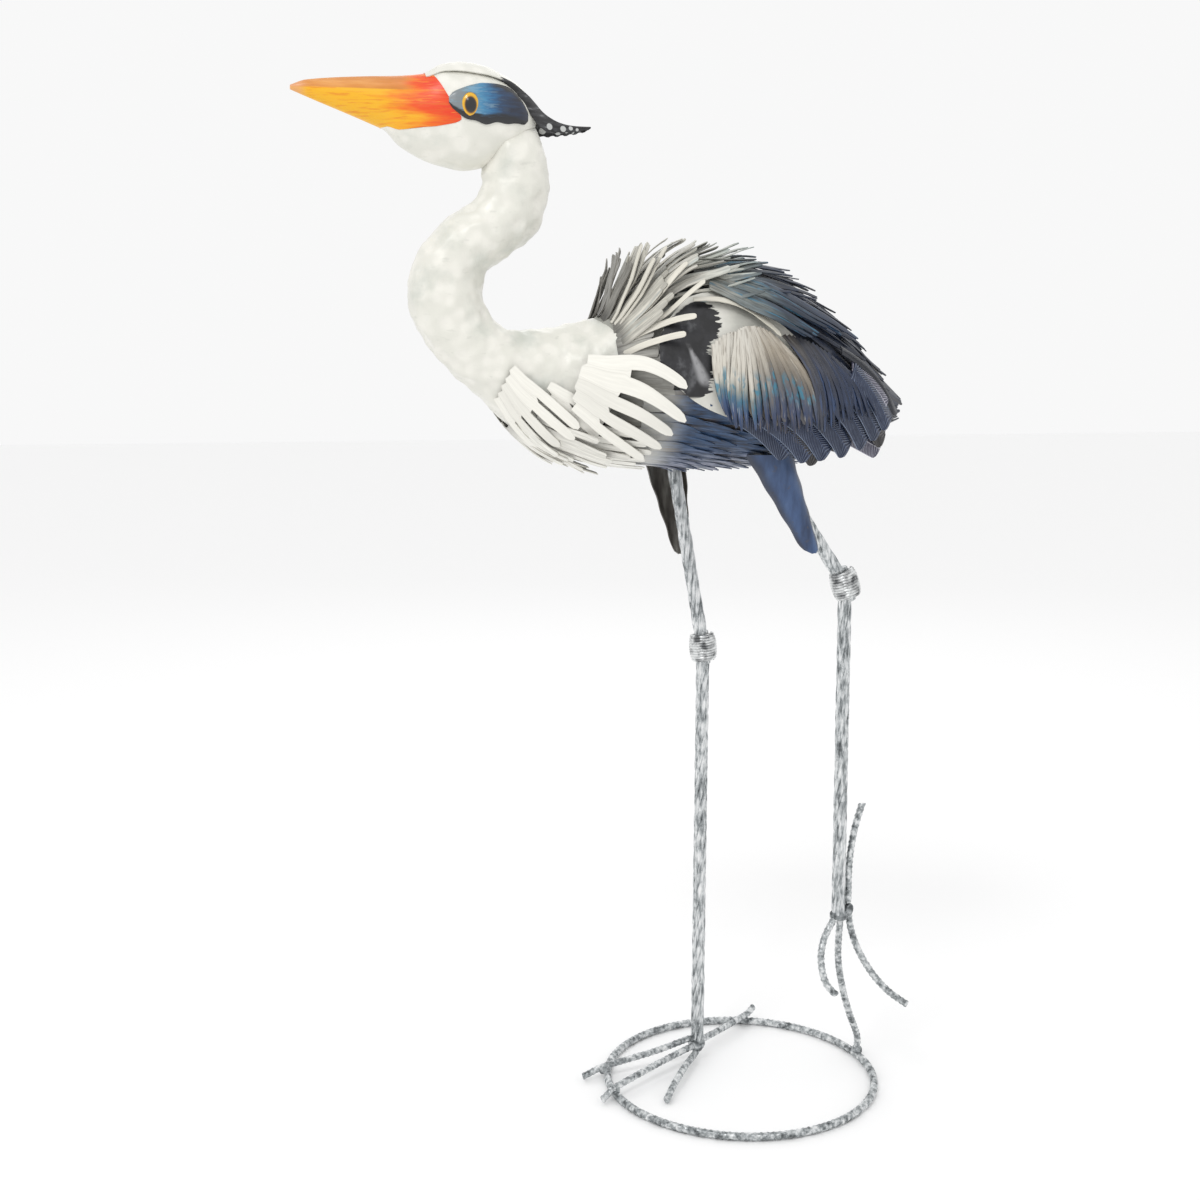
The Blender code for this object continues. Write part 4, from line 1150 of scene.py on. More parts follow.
def feather_blank(name, columns, rows, tip_cuts, pleat=0.0, camber=0.0, barbs=0, slant=0.0, crowd=1.0):
    """A feather cut from sheet: -1 to 1 across, 0 to 1 along, narrowed at its tip."""
    deselect()
    bpy.ops.mesh.primitive_grid_add(x_subdivisions=columns, y_subdivisions=rows, size=2)
    blank = bpy.context.object
    blank.name = name
    for vert in blank.data.vertices:
        left = (1 - vert.co.y) / 2
        vert.co.y = 1 - 2 * max(0.0, left) ** crowd
    take(blank)
    bpy.ops.object.mode_set(mode="EDIT")
    bpy.ops.mesh.select_mode(type="VERT")
    mesh = bmesh.from_edit_mesh(blank.data)
    for start, factor in tip_cuts:
        for vert in mesh.verts:
            vert.select_set((vert.co.y + 1) / 2 > start)
        mesh.select_flush_mode()
        bmesh.update_edit_mesh(blank.data)
        bpy.ops.transform.resize(value=(factor, 1, 1), center_override=(0, 0, 0))
    bpy.ops.object.mode_set(mode="OBJECT")
    ridge = blank.data.attributes.new("barb", "FLOAT", "POINT")
    for number, vert in enumerate(blank.data.vertices):
        along = (vert.co.y + 1) / 2
        across = vert.co.x
        fold = pleat * (1 - abs(across)) * min(1.0, along * 5)
        vert.co.z = fold + camber * (1 - across * across)
        if barbs:
            raised = round(along * rows) % 2
            ridge.data[number].value = raised
            vert.co.z += barbs * 0.001 * (raised - 0.5) * min(1.0, 6 * (1 - abs(across)))
            along += slant * (abs(across) - 0.5) * min(1.0, 8 * along) * min(1.0, 8 * (1 - along))
        vert.co.y = along
    return blank


def bed_feathers(name, blank, guide, feathers, paints, replaces=(), slot=None, seed=1):
    """Copies the blank for each feather and beds it on a guide surface.

    A feather is (root, tip, root lift, tip lift, half width, bow, curl, roll). The bow goes
    sideways in the guide's own measures, the curl lifts the tip and the roll is in radians.
    """
    draw = random.Random(seed)
    comb = bmesh.new()
    lay = comb.verts.layers.float_color.new("lay")
    for feather in feathers:
        root, tip, root_lift, tip_lift, half, bow, curl, roll = feather
        start = len(comb.verts)
        first_face = len(comb.faces)
        comb.from_mesh(blank.data)
        comb.verts.ensure_lookup_table()
        comb.faces.ensure_lookup_table()
        tone = draw.random()
        offset = Vector((draw.uniform(0, 40), draw.uniform(0, 40)))
        frames = {}

        def spot_at(t, more=0.0):
            side = math.sin(math.pi * min(1.0, t))
            u = root[0] + (tip[0] - root[0]) * t + bow[0] * side
            v = root[1] + (tip[1] - root[1]) * t + bow[1] * side
            lift = root_lift + (tip_lift - root_lift) * t ** 1.25 + curl * t ** 4
            return guide(u, v, lift + more)

        length = (spot_at(1.0) - spot_at(0.0)).length
        for vert in comb.verts[start:]:
            across, t, height = vert.co
            t = max(0.0, t)
            key = round(t, 3)
            if key not in frames:
                spot = spot_at(t)
                ahead = (spot_at(t + 0.02) - spot).normalized()
                above = (spot_at(t, 0.001) - spot).normalized()
                side = ahead.cross(above).normalized()
                frames[key] = (spot, side * math.cos(roll) + above * math.sin(roll), above)
            spot, side, above = frames[key]
            vert[lay] = (t, across * 0.5 + 0.5, tone, 1.0)
            vert.co = spot + side * across * half + above * height * half
        maps = comb.loops.layers.uv.get("UVMap")
        for face in comb.faces[first_face:]:
            for loop in face.loops:
                t, across = loop.vert[lay][0], loop.vert[lay][1] - 0.5
                loop[maps].uv = (across * half * 200 + offset.x, t * length * 100 + offset.y)
    mesh = bpy.data.meshes.new(name)
    comb.to_mesh(mesh)
    comb.free()
    piece = bpy.data.objects.new(name, mesh)
    bpy.context.collection.objects.link(piece)
    thicken(piece, STRIP_SHEET, second_paint=len(paints) > 1)
    return settle(piece, paints, replaces, slot)


STRIP = feather_blank("strip_blank", 2, 10, ((0.955, 0.88), (0.985, 0.52)), camber=0.14, crowd=1.7)
BLADE = feather_blank(
    "blade_blank",
    2,
    11,
    ((-1.0, 0.62), (0.15, 1.25), (0.35, 1.22), (0.62, 0.88), (0.78, 0.82), (0.90, 0.66), (0.97, 0.50)),
    camber=0.16,
    crowd=1.4,
)
JAGGED = feather_blank(
    "jagged_blank", 2, 8, ((0.70, 0.86), (0.84, 0.72), (0.93, 0.55), (0.98, 0.35)), camber=0.12, crowd=1.4
)
POINTED = feather_blank(
    "pointed_blank",
    2,
    10,
    ((-1.0, 0.80), (0.25, 1.20), (0.70, 0.84), (0.84, 0.76), (0.93, 0.62), (0.98, 0.50)),
    pleat=0.50,
    crowd=1.3,
)
PADDLE = feather_blank(
    "paddle_blank",
    6,
    54,
    ((0.80, 0.98), (0.88, 0.95), (0.93, 0.91), (0.965, 0.83), (0.99, 0.66)),
    camber=0.22,
    barbs=60,
    slant=0.16,
)


def fan_out(
    roots,
    tips,
    count,
    lifts,
    half,
    draw,
    jitter=(0.0, 0.0),
    bow=(0.0, 0.0),
    curl=0.0,
    side_turn=1.0,
):
    """Feathers spread evenly between a first and a last one, each a little out of line."""
    feathers = []
    for k in range(count):
        share = k / (count - 1)
        root = [roots[0][i] + (roots[1][i] - roots[0][i]) * share for i in (0, 1)]
        tip = [tips[0][i] + (tips[1][i] - tips[0][i]) * share for i in (0, 1)]
        tip[0] += draw.uniform(-jitter[0], jitter[0])
        tip[1] += draw.uniform(-jitter[1], jitter[1])
        root[1] *= side_turn
        tip[1] *= side_turn
        rise = draw.uniform(0.0, 0.0012)
        feathers.append(
            (
                root,
                tip,
                lifts[0] + rise * 0.4,
                lifts[1] + rise,
                half * draw.uniform(0.90, 1.06),
                (bow[0], bow[1] * side_turn),
                curl * draw.uniform(0.4, 1.2),
                draw.uniform(-0.14, 0.14),
            )
        )
    return feathers


def across_back(along, wide, count, lifts, half, draw, lean, curl, side_share, last):
    """A row of strips across the back, from the right side to a last share of the left.

    Strips of the right side lean back further. side_share is the lift at the sides beside
    the lift in the middle.
    """
    root_x, top_x, side_x = along
    feathers = []
    for k in range(count):
        share = -1.0 + (last + 1.0) * k / (count - 1)
        share += draw.uniform(-0.6, 0.6) / count
        side = share * share
        far = max(0.0, -share) * lean
        root = (root_x - 0.012 * far + draw.uniform(-0.003, 0.003), math.radians(wide[0]) * share)
        tip = (
            top_x + (side_x - top_x) * side + draw.uniform(-0.006, 0.006),
            math.radians(wide[1]) * share * (1 - 0.34 * far) + draw.uniform(-0.07, 0.07),
        )
        lift = lifts[1] * (1 - (1 - side_share) * side)
        lift *= draw.uniform(0.78, 1.10)
        feathers.append(
            (
                root,
                tip,
                lifts[0],
                lift,
                half * draw.uniform(0.80, 1.18),
                (0.0, draw.uniform(-0.04, 0.04)),
                curl * draw.uniform(-0.6, 1.6),
                draw.uniform(-0.45, 0.45),
            )
        )
    return feathers


def smooth_route(points, step):
    """Points along a smooth curve through the given bends, about one step apart."""
    route = []
    count = len(points)
    for i in range(count - 1):
        before = points[max(i - 1, 0)]
        start, end = points[i], points[i + 1]
        after = points[min(i + 2, count - 1)]
        pieces = max(1, round((end - start).length / step))
        for k in range(pieces):
            route.append(smooth_between(before, start, end, after, k / pieces))
    route.append(points[-1])
    return route


def rib_segment(pitch, radius):
    """One pitch of ribbed bar along X: a ring extruded and swelled at its slanted rib."""
    deselect()
    bpy.ops.mesh.primitive_circle_add(
        vertices=10, radius=radius * 0.93, fill_type="NOTHING", rotation=(0, math.pi / 2, 0)
    )
    segment = bpy.context.object
    bpy.ops.object.transform_apply(location=False, rotation=True, scale=False)
    bpy.ops.object.mode_set(mode="EDIT")
    bpy.ops.mesh.select_all(action="SELECT")
    for step, swell in ((0.40, 1.0), (0.16, 1.13), (0.20, 1.0), (0.24, 1 / 1.13)):
        bpy.ops.mesh.extrude_region_move(TRANSFORM_OT_translate={"value": (pitch * step, 0, 0)})
        bpy.ops.transform.resize(value=(1, swell, swell), center_override=(0, 0, 0))
    bpy.ops.object.mode_set(mode="OBJECT")
    for vert in segment.data.vertices:
        vert.co.x += vert.co.y * 0.35
    return segment


def ribbed_rod(name, route, diameter, closed=False):
    """Ribbed bar bent along a route: one segment, arrayed and carried along a curve."""
    length = sum((b - a).length for a, b in zip(route, route[1:]))
    count = max(4, round(length / (diameter * 0.78)))
    pitch = length / count
    segment = rib_segment(pitch, diameter / 2)
    segment.name = name + "_ribbed"
    curve = bpy.data.curves.new(name + "_route", "CURVE")
    curve.dimensions = "3D"
    spline = curve.splines.new("POLY")
    points = route[:-1] if closed else route
    spline.points.add(len(points) - 1)
    for slot, point in zip(spline.points, points):
        slot.co = (*point, 1.0)
    spline.use_cyclic_u = closed
    line = bpy.data.objects.new(name + "_route", curve)
    bpy.context.collection.objects.link(line)
    repeat = segment.modifiers.new("ribs", "ARRAY")
    repeat.count = count
    repeat.use_relative_offset = False
    repeat.use_constant_offset = True
    repeat.constant_offset_displace = (pitch, 0, 0)
    repeat.use_merge_vertices = True
    repeat.merge_threshold = 0.00005
    bend = segment.modifiers.new("bend", "CURVE")
    bend.object = line
    bend.deform_axis = "POS_X"
    apply_modifiers(segment)
    bpy.data.objects.remove(line)
    close_up(segment, 0.0001)
    if not closed:
        fill_ends(segment)
    settle(segment, [ROD_PAINT], (name,), "steel")


def fill_ends(piece):
    """Closes every open ring of edges and turns the faces outwards."""
    take(piece)
    bpy.ops.object.mode_set(mode="EDIT")
    bpy.ops.mesh.select_all(action="SELECT")
    bpy.ops.mesh.fill_holes(sides=0)
    bpy.ops.mesh.normals_make_consistent(inside=False)
    bpy.ops.object.mode_set(mode="OBJECT")


def strand_rod(name, low, high, seed):
    """Wires laid side by side and twisted into one rod."""
    length = (high - low).length
    deselect()
    bpy.ops.mesh.primitive_cylinder_add(
        vertices=10,
        radius=STRAND_RADIUS,
        depth=length,
        location=(LEG_ROD / 2 - STRAND_RADIUS, 0, length / 2),
        end_fill_type="NGON",
    )
    rod = bpy.context.object
    rod.name = name + "_strands"
    bpy.ops.object.transform_apply(location=True, rotation=False, scale=False)
    bpy.ops.object.mode_set(mode="EDIT")
    bpy.ops.mesh.select_mode(type="EDGE")
    bpy.ops.mesh.select_all(action="DESELECT")
    mesh = bmesh.from_edit_mesh(rod.data)
    for edge in mesh.edges:
        a, b = edge.verts
        edge.select_set(abs(a.co.z - b.co.z) > length / 2)
    bmesh.update_edit_mesh(rod.data)
    bpy.ops.mesh.subdivide(number_cuts=max(4, round(length / 0.006)))
    bpy.ops.mesh.select_all(action="SELECT")
    bpy.ops.mesh.spin(
        steps=STRANDS - 1,
        dupli=True,
        angle=2 * math.pi * (STRANDS - 1) / STRANDS,
        center=(0, 0, 0),
        axis=(0, 0, 1),
    )
    bpy.ops.object.mode_set(mode="OBJECT")
    twist = rod.modifiers.new("twist", "SIMPLE_DEFORM")
    twist.deform_method = "TWIST"
    twist.deform_axis = "Z"
    twist.angle = 2 * math.pi * length / STRAND_PITCH
    apply_modifiers(rod)
    draw = random.Random(seed)
    waves = [(draw.uniform(60, 140), draw.uniform(0, 6)) for _ in range(3)]
    for vert in rod.data.vertices:
        turn = 2 * math.atan2(vert.co.y, vert.co.x)
        swell = 1 + 0.035 * sum(math.sin(vert.co.z * f + a + turn) for f, a in waves) / 3
        vert.co.x *= swell
        vert.co.y *= swell
    lean = Vector((0, 0, 1)).rotation_difference(high - low)
    rod.data.transform(Matrix.Translation(low) @ lean.to_matrix().to_4x4())
    settle(rod, [LEG_PAINT], (name,), "steel", angle=60)


def wound_knee(name, middle, up):
    """A barrel of wound wire: a ring of wire screwed up the leg and swelled at its middle."""
    deselect()
    bpy.ops.mesh.primitive_circle_add(
        vertices=8,
        radius=COIL_RADIUS,
        location=(KNEE_DIAMETER / 2 - COIL_RADIUS, 0, 0),
        rotation=(math.pi / 2, 0, 0),
        fill_type="NOTHING",
    )
    coil = bpy.context.object
    coil.name = name + "_wire"
    bpy.ops.object.transform_apply(location=True, rotation=True, scale=False)
    screw = coil.modifiers.new("turns", "SCREW")
    screw.axis = "Z"
    screw.angle = 2 * math.pi
    screw.iterations = COIL_TURNS
    screw.screw_offset = (KNEE_HEIGHT - 2 * COIL_RADIUS) / COIL_TURNS
    screw.steps = 28
    screw.render_steps = 28
    apply_modifiers(coil)
    fill_ends(coil)
    outer = KNEE_DIAMETER / 2 - COIL_RADIUS
    for vert in coil.data.vertices:
        vert.co.z -= KNEE_HEIGHT / 2 - COIL_RADIUS
        swell = math.sqrt(max(0.05, 1 - (1.25 * vert.co.z / KNEE_HEIGHT) ** 2))
        reach = math.hypot(vert.co.x, vert.co.y)
        pull = (reach - outer + outer * swell) / reach
        vert.co.x *= pull
        vert.co.y *= pull
    lean = Vector((0, 0, 1)).rotation_difference(up)
    coil.data.transform(Matrix.Translation(middle) @ lean.to_matrix().to_4x4())
    settle(coil, [COIL_PAINT], (name,), "steel", angle=60)
    deselect()
    bpy.ops.mesh.primitive_cylinder_add(
        vertices=20, radius=LEG_ROD / 2 - 0.0003, depth=KNEE_HEIGHT + 0.004
    )
    core = bpy.context.object
    core.name = name + "_core"
    take(core)
    bpy.ops.object.mode_set(mode="EDIT")
    bpy.ops.mesh.select_all(action="SELECT")
    bpy.ops.mesh.bevel(offset=0.0006, segments=1)
    bpy.ops.object.mode_set(mode="OBJECT")
    core.data.transform(Matrix.Translation(middle) @ lean.to_matrix().to_4x4())
    settle(core, [LEG_PAINT], (), "steel")


def leg(side, foot, knee, hip, seed):
    """Shank, wound knee and upper leg."""
    shank_way = (knee - foot).normalized()
    thigh_way = (hip - knee).normalized()
    axis = (shank_way + thigh_way).normalized()
    reach = KNEE_HEIGHT / 2 - 0.002
    strand_rod(side + "_shank", foot, knee - shank_way * reach, seed=seed)
    wound_knee(side + "_knee_coil", knee, axis)
    strand_rod(side + "_upper_leg", knee + thigh_way * reach, hip, seed=seed + 1)


def weld(name, place, size, seed):
    """A lump of weld metal with a rough, dimpled skin."""
    deselect()
    bpy.ops.mesh.primitive_ico_sphere_add(subdivisions=3, radius=1.0)
    lump = bpy.context.object
    lump.name = name
    draw = random.Random(seed)
    bumps = []
    for _ in range(9):
        bump = Vector((draw.uniform(-1, 1), draw.uniform(-1, 1), draw.uniform(-1, 1)))
        bumps.append(bump.normalized())
    for vert in lump.data.vertices:
        way = vert.co.normalized()
        rise = sum(0.13 * max(0.0, way.dot(bump) - 0.72) / 0.28 for bump in bumps)
        vert.co = way * (0.88 + rise)
        vert.co = Vector((vert.co.x * size[0], vert.co.y * size[1], vert.co.z * size[2]))
    lump.data.transform(Matrix.Translation(place))
    settle(lump, [WELD_PAINT], (), "steel", angle=60)


def stand():
    """Ring, toes, legs, knees and the welds that join them."""
    steps = 96
    circle = []
    for k in range(steps + 1):
        turn = 2 * math.pi * k / steps
        circle.append(
            Vector((RING_RADIUS * math.cos(turn), RING_RADIUS * math.sin(turn), RING_ROD / 2))
        )
    ribbed_rod("ground_ring", circle, RING_ROD, closed=True)
    ways = {}
    for name, (heading, bends) in STANDING_TOES.items():
        turn = math.radians(heading)
        way = Vector((math.cos(turn), math.sin(turn), 0.0))
        start = Vector((STANDING_FOOT.x, STANDING_FOOT.y, 0.0))
        bends = ((0.002, bends[0][1]), *bends) if bends[0][0] > 0.005 else bends
        points = [start + way * distance + Vector((0, 0, height)) for distance, height in bends]
        ribbed_rod(name, smooth_route(points, 0.006), TOE_ROD)
        ways[name] = way
    for name, bends in LIFTED_TOES.items():
        points = [LIFTED_FOOT + Vector(bend) for bend in bends]
        ribbed_rod(name, smooth_route(points, 0.006), TOE_ROD)
    leg("standing", STANDING_FOOT, STANDING_KNEE, STANDING_HIP, 3)
    leg("lifted", LIFTED_FOOT, LIFTED_KNEE, LIFTED_HIP, 8)
    foot = Vector((STANDING_FOOT.x, STANDING_FOOT.y, 0.0))
    weld("ankle_weld", foot + Vector((0, 0, 0.0165)), (0.0092, 0.0086, 0.0085), 2)
    ankle = LIFTED_FOOT + Vector((0.0015, 0, -0.0005))
    weld("lifted_ankle_weld", ankle, (0.0112, 0.0070, 0.0058), 5)
    rear = LIFTED_FOOT + Vector((0.0105, 0, 0.0030))
    weld("lifted_ankle_weld_rear", rear, (0.0046, 0.0046, 0.0085), 6)
    crossings = (
        ("standing_toe_inner", 0.1075),
        ("standing_toe_middle", 0.1265),
        ("standing_toe_hind", 0.1000),
    )
    for number, (name, distance) in enumerate(crossings):
        place = foot + ways[name] * distance
        spot = Vector((place.x, place.y, 0.0080))
        weld(name + "_weld", spot, (0.0050, 0.0050, 0.0044), 11 + number)
    weld("lifted_toe_weld", Vector((0.1348, 0.0134, 0.0085)), (0.0054, 0.0054, 0.0052), 15)


def thigh_plate(name, top, tip, outward, paints):
    """A half cone of sheet that wraps the outer side of the thigh and ends in a round tip."""

    def cone(along):
        radius = THIGH_TOP_RADIUS + (THIGH_TIP_RADIUS - THIGH_TOP_RADIUS) * along
        return top.lerp(tip, along), radius

    def shape(across, along):
        middle, radius = cone(along)
        narrow = 1.0
        if along > 0.90:
            narrow = math.sqrt(max(0.0, 1 - ((along - 0.90) / 0.102) ** 2))
        turn = THIGH_WRAP * (0.5 - across) * narrow * outward
        dent = 0.0006 * math.sin(23 * along + 4 * across) * math.sin(9 * across + 2)
        way = Vector((math.sin(turn), outward * math.cos(turn), 0.0))
        return middle + way * (radius + dent)

    plate = sheet_metal(name + "_rolled", 14, 30, shape)
    marks = plate.data.attributes.new("lay", "FLOAT_COLOR", "POINT")
    for number, vert in enumerate(plate.data.vertices):
        along = (top.z - vert.co.z) / (top.z - tip.z)
        middle, radius = cone(along)
        across = 0.5 + (vert.co.x - middle.x) / (2 * radius)
        marks.data[number].color = (along, across, 0.5, 1.0)
    thicken(plate, SHEET, second_paint=True)
    settle(plate, paints, (name,), "blue")
    return plate


def neck_section(number, angle):
    """A point of the neck's numbered cross-section, from the body's rim up."""
    low_rings = (RIM_X, SHELL[3][0], SHELL[2][0], SHELL[1][0])
    if number < len(low_rings):
        x = low_rings[number]
        if number == 0:
            turn = math.degrees(from_top(angle))
            x += 0.0120 * max(0.0, min(1.0, (turn - 12) / 38))
            x -= 0.0250 * max(0.0, min(1.0, (turn - 85) / 60))
        return shell_point(x, angle, 0.0)
    front_x, front_z, back_x, back_z, half = NECK_RINGS[number - len(low_rings)]
    front, back = Vector((front_x, 0, front_z)), Vector((back_x, 0, back_z))
    middle, reach = (front + back) / 2, (back - front) / 2
    return middle + reach * math.cos(angle) + Vector((0, -half * math.sin(angle), 0))


def neck():
    """Breast and neck, rolled and hammered from one sheet."""
    last = 3 + len(NECK_RINGS)
    cache = {}

    def section(number, angle):
        number = max(0, min(last, number))
        key = (number, round(angle, 5))
        if key not in cache:
            cache[key] = neck_section(number, angle)
        return cache[key]

    def shape(across, along):
        angle = 2 * math.pi * across
        place = along * last
        i = min(last - 1, int(place))
        t = place - i
        before, start, end, after = (section(i + k, angle) for k in (-1, 0, 1, 2))
        if i == 0:
            before = start * 2 - end
        return smooth_between(before, start, end, after, t)

    shell = sheet_metal("neck_shell_hammered", 84, 170, shape, closed=True)
    dents = bpy.data.textures.new("hammer_dents", "VORONOI")
    dents.noise_scale = 0.012
    dents.distance_metric = "DISTANCE_SQUARED"
    blows = shell.modifiers.new("hammered", "DISPLACE")
    blows.texture = dents
    blows.strength = 0.0030
    blows.mid_level = 0.75
    waves = bpy.data.textures.new("neck_waves", "CLOUDS")
    waves.noise_scale = 0.030
    waves.noise_depth = 1
    swell = shell.modifiers.new("waves", "DISPLACE")
    swell.texture = waves
    swell.strength = 0.0026
    swell.mid_level = 0.70
    relax = shell.modifiers.new("relax", "SMOOTH")
    relax.iterations = 1
    apply_modifiers(shell)
    thicken(shell, SHEET)
    settle(shell, [SHELL_PAINT], ("neck_shell",), "cream")


def head():
    """Head shell, beak and crown cap."""

    def skull(across, along):
        angle = cheek_angle(across)
        start = beak_line(angle) - 0.0006
        return head_point(start + (NAPE_X - start) * along, angle)

    shell = sheet_metal("head_shell_formed", 96, 44, skull, closed=True)
    fill_ends(shell)
    settle(shell, [SHELL_PAINT], ("head_shell",), "cream", angle=60)

    def bill(across, along):
        angle = cheek_angle(across)
        turn = from_top(angle)
        side = 1 if math.sin(angle) >= 0 else -1
        end = beak_line(angle) + 0.0002
        x = BEAK_TIP_X + (end - BEAK_TIP_X) * along**1.2
        point = head_point(x, angle, 0.0004)
        fade = min(1.0, 3.0 * (1 - along)) * 0.7
        low = MOUTH_ANGLE + 0.30
        if turn < MOUTH_ANGLE:
            flat = head_point(x, 0.0).lerp(head_point(x, MOUTH_ANGLE * side), turn / MOUTH_ANGLE)
            point = point.lerp(flat, fade)
        elif turn < low:
            share = (turn - MOUTH_ANGLE) / (low - MOUTH_ANGLE)
            flat = head_point(x, MOUTH_ANGLE * side).lerp(head_point(x, low * side), share)
            point = point.lerp(flat, fade)
        return point

    beak = sheet_metal("beak_formed", 96, 60, bill, closed=True)
    fill_ends(beak)
    settle(beak, [BEAK_PAINT], ("beak",), "orange", angle=60)

    def cap(across, along):
        x = -0.3090 + 0.0960 * along
        half_turn = 24 + 16 * math.sin(math.pi * min(1.0, 0.10 + along * 0.78))
        lift = 0.0005 + 0.0020 * min(1.0, 4 * along)
        return head_point(x, math.radians(half_turn) * (2 * across - 1), lift)

    crown = sheet_metal("crown_cap_formed", 20, 34, cap)
    thicken(crown, SHEET)
    settle(crown, [SHELL_PAINT], ("crown_cap",), "cream")


# Place along the head, upper edge, lower edge of the eye patch.
PATCH_EDGE = (
    (-0.2915, 0.9500, 0.9460),
    (-0.2880, 0.9545, 0.9400),
    (-0.2800, 0.9585, 0.9350),
    (-0.2700, 0.9620, 0.9308),
    (-0.2600, 0.9640, 0.9290),
    (-0.2500, 0.9640, 0.9298),
    (-0.2400, 0.9625, 0.9302),
    (-0.2300, 0.9555, 0.9300),
    (-0.2245, 0.9480, 0.9305),
    (-0.2205, 0.9400, 0.9340),
)


def face(side_name, side):
    """Painted eye patch and the eye on one side of the head."""
    front, rear = PATCH_EDGE[0][0], PATCH_EDGE[-1][0]

    def patch(across, along):
        x = front + (rear - front) * along
        upper, lower = stations(PATCH_EDGE, x)
        lower += 0.0009 * math.sin(along * 24.0) * (1 - along * 0.3)
        crown = 4 * across * (1 - across)
        rise = 0.0012 * min(1.0, crown * 3) * min(1.0, 12 * along, 12 * (1 - along))
        point = head_side(x, lower + (upper - lower) * across, 0.0007 + rise)
        return Vector((point.x, point.y * side, point.z))

    plate = sheet_metal(side_name + "_eye_patch", 16, 44, patch)
    marks = plate.data.attributes.new("lay", "FLOAT_COLOR", "POINT")
    for number, vert in enumerate(plate.data.vertices):
        upper, lower = stations(PATCH_EDGE, vert.co.x)
        share = (vert.co.x - front) / (rear - front)
        marks.data[number].color = (share, (vert.co.z - lower) / (upper - lower), 0.5, 1.0)
    thicken(plate, PATCH_SHEET)
    settle(plate, [PATCH_PAINT], (), "blue")
    deselect()
    bpy.ops.mesh.primitive_uv_sphere_add(
        segments=36, ring_count=18, radius=1.0, rotation=(math.pi / 2, 0, 0)
    )
    eye = bpy.context.object
    eye.name = side_name + "_eye_bead"
    bpy.ops.object.transform_apply(location=False, rotation=True, scale=False)
    centre = head_side(EYE.x, EYE.z, 0.0006)
    for vert in eye.data.vertices:
        square = vert.co.x**2 + vert.co.z**2
        dome = math.sqrt(max(0.0, 1 - square))
        pupil = max(0.0, 1 - square / 0.32)
        depth = dome * 0.0034 + 0.0008 * math.sqrt(pupil)
        if vert.co.y > 0:
            depth *= -0.3
        x = centre.x + vert.co.x * EYE_HALF_WIDTH
        z = centre.z + vert.co.z * EYE_HALF_HEIGHT
        vert.co = Vector((x, (centre.y - depth) * side, z))
    close_up(eye)
    settle(eye, [EYE_PAINT], (side_name + "_eye",), "yellow", angle=60)


# Place along the plume, upper edge, lower edge, distance from the middle plane.
CREST_EDGE = (
    (-0.2480, 0.9725, 0.9712, 0.0180),
    (-0.2405, 0.9700, 0.9665, 0.0195),
    (-0.2330, 0.9665, 0.9605, 0.0210),
    (-0.2250, 0.9610, 0.9505, 0.0220),
    (-0.2177, 0.9555, 0.9400, 0.0228),
    (-0.2120, 0.9505, 0.9320, 0.0215),
    (-0.2050, 0.9440, 0.9275, 0.0180),
    (-0.1974, 0.9395, 0.9258, 0.0140),
    (-0.1880, 0.9355, 0.9262, 0.0110),
    (-0.1780, 0.9335, 0.9272, 0.0088),
    (-0.1680, 0.9330, 0.9290, 0.0074),
    (-0.1585, 0.9330, 0.9318, 0.0065),
)


def crest():
    """Black plumes laid along the back of the crown and run out to a point."""
    front, rear = CREST_EDGE[0][0], CREST_EDGE[-1][0]
    for side_name, side in (("left", 1), ("right", -1)):

        def plume(across, along):
            x = front + (rear - front) * along
            upper, lower, out = stations(CREST_EDGE, x)
            notch = 0.0007 * math.sin(70 * along) * min(1.0, 3 * along)
            z = lower + notch * (1 - across) + (upper - lower) * across
            crown = 0.0012 * math.sin(math.pi * across)
            lean = 0.35 * (z - lower)
            return Vector((x, -(out - lean + crown) * side, z))

        plate = sheet_metal(side_name + "_crest_plume_cut", 6, 44, plume)
        thicken(plate, STRIP_SHEET)
        settle(plate, [CREST_PAINT], (side_name + "_crest_plume",), "black")


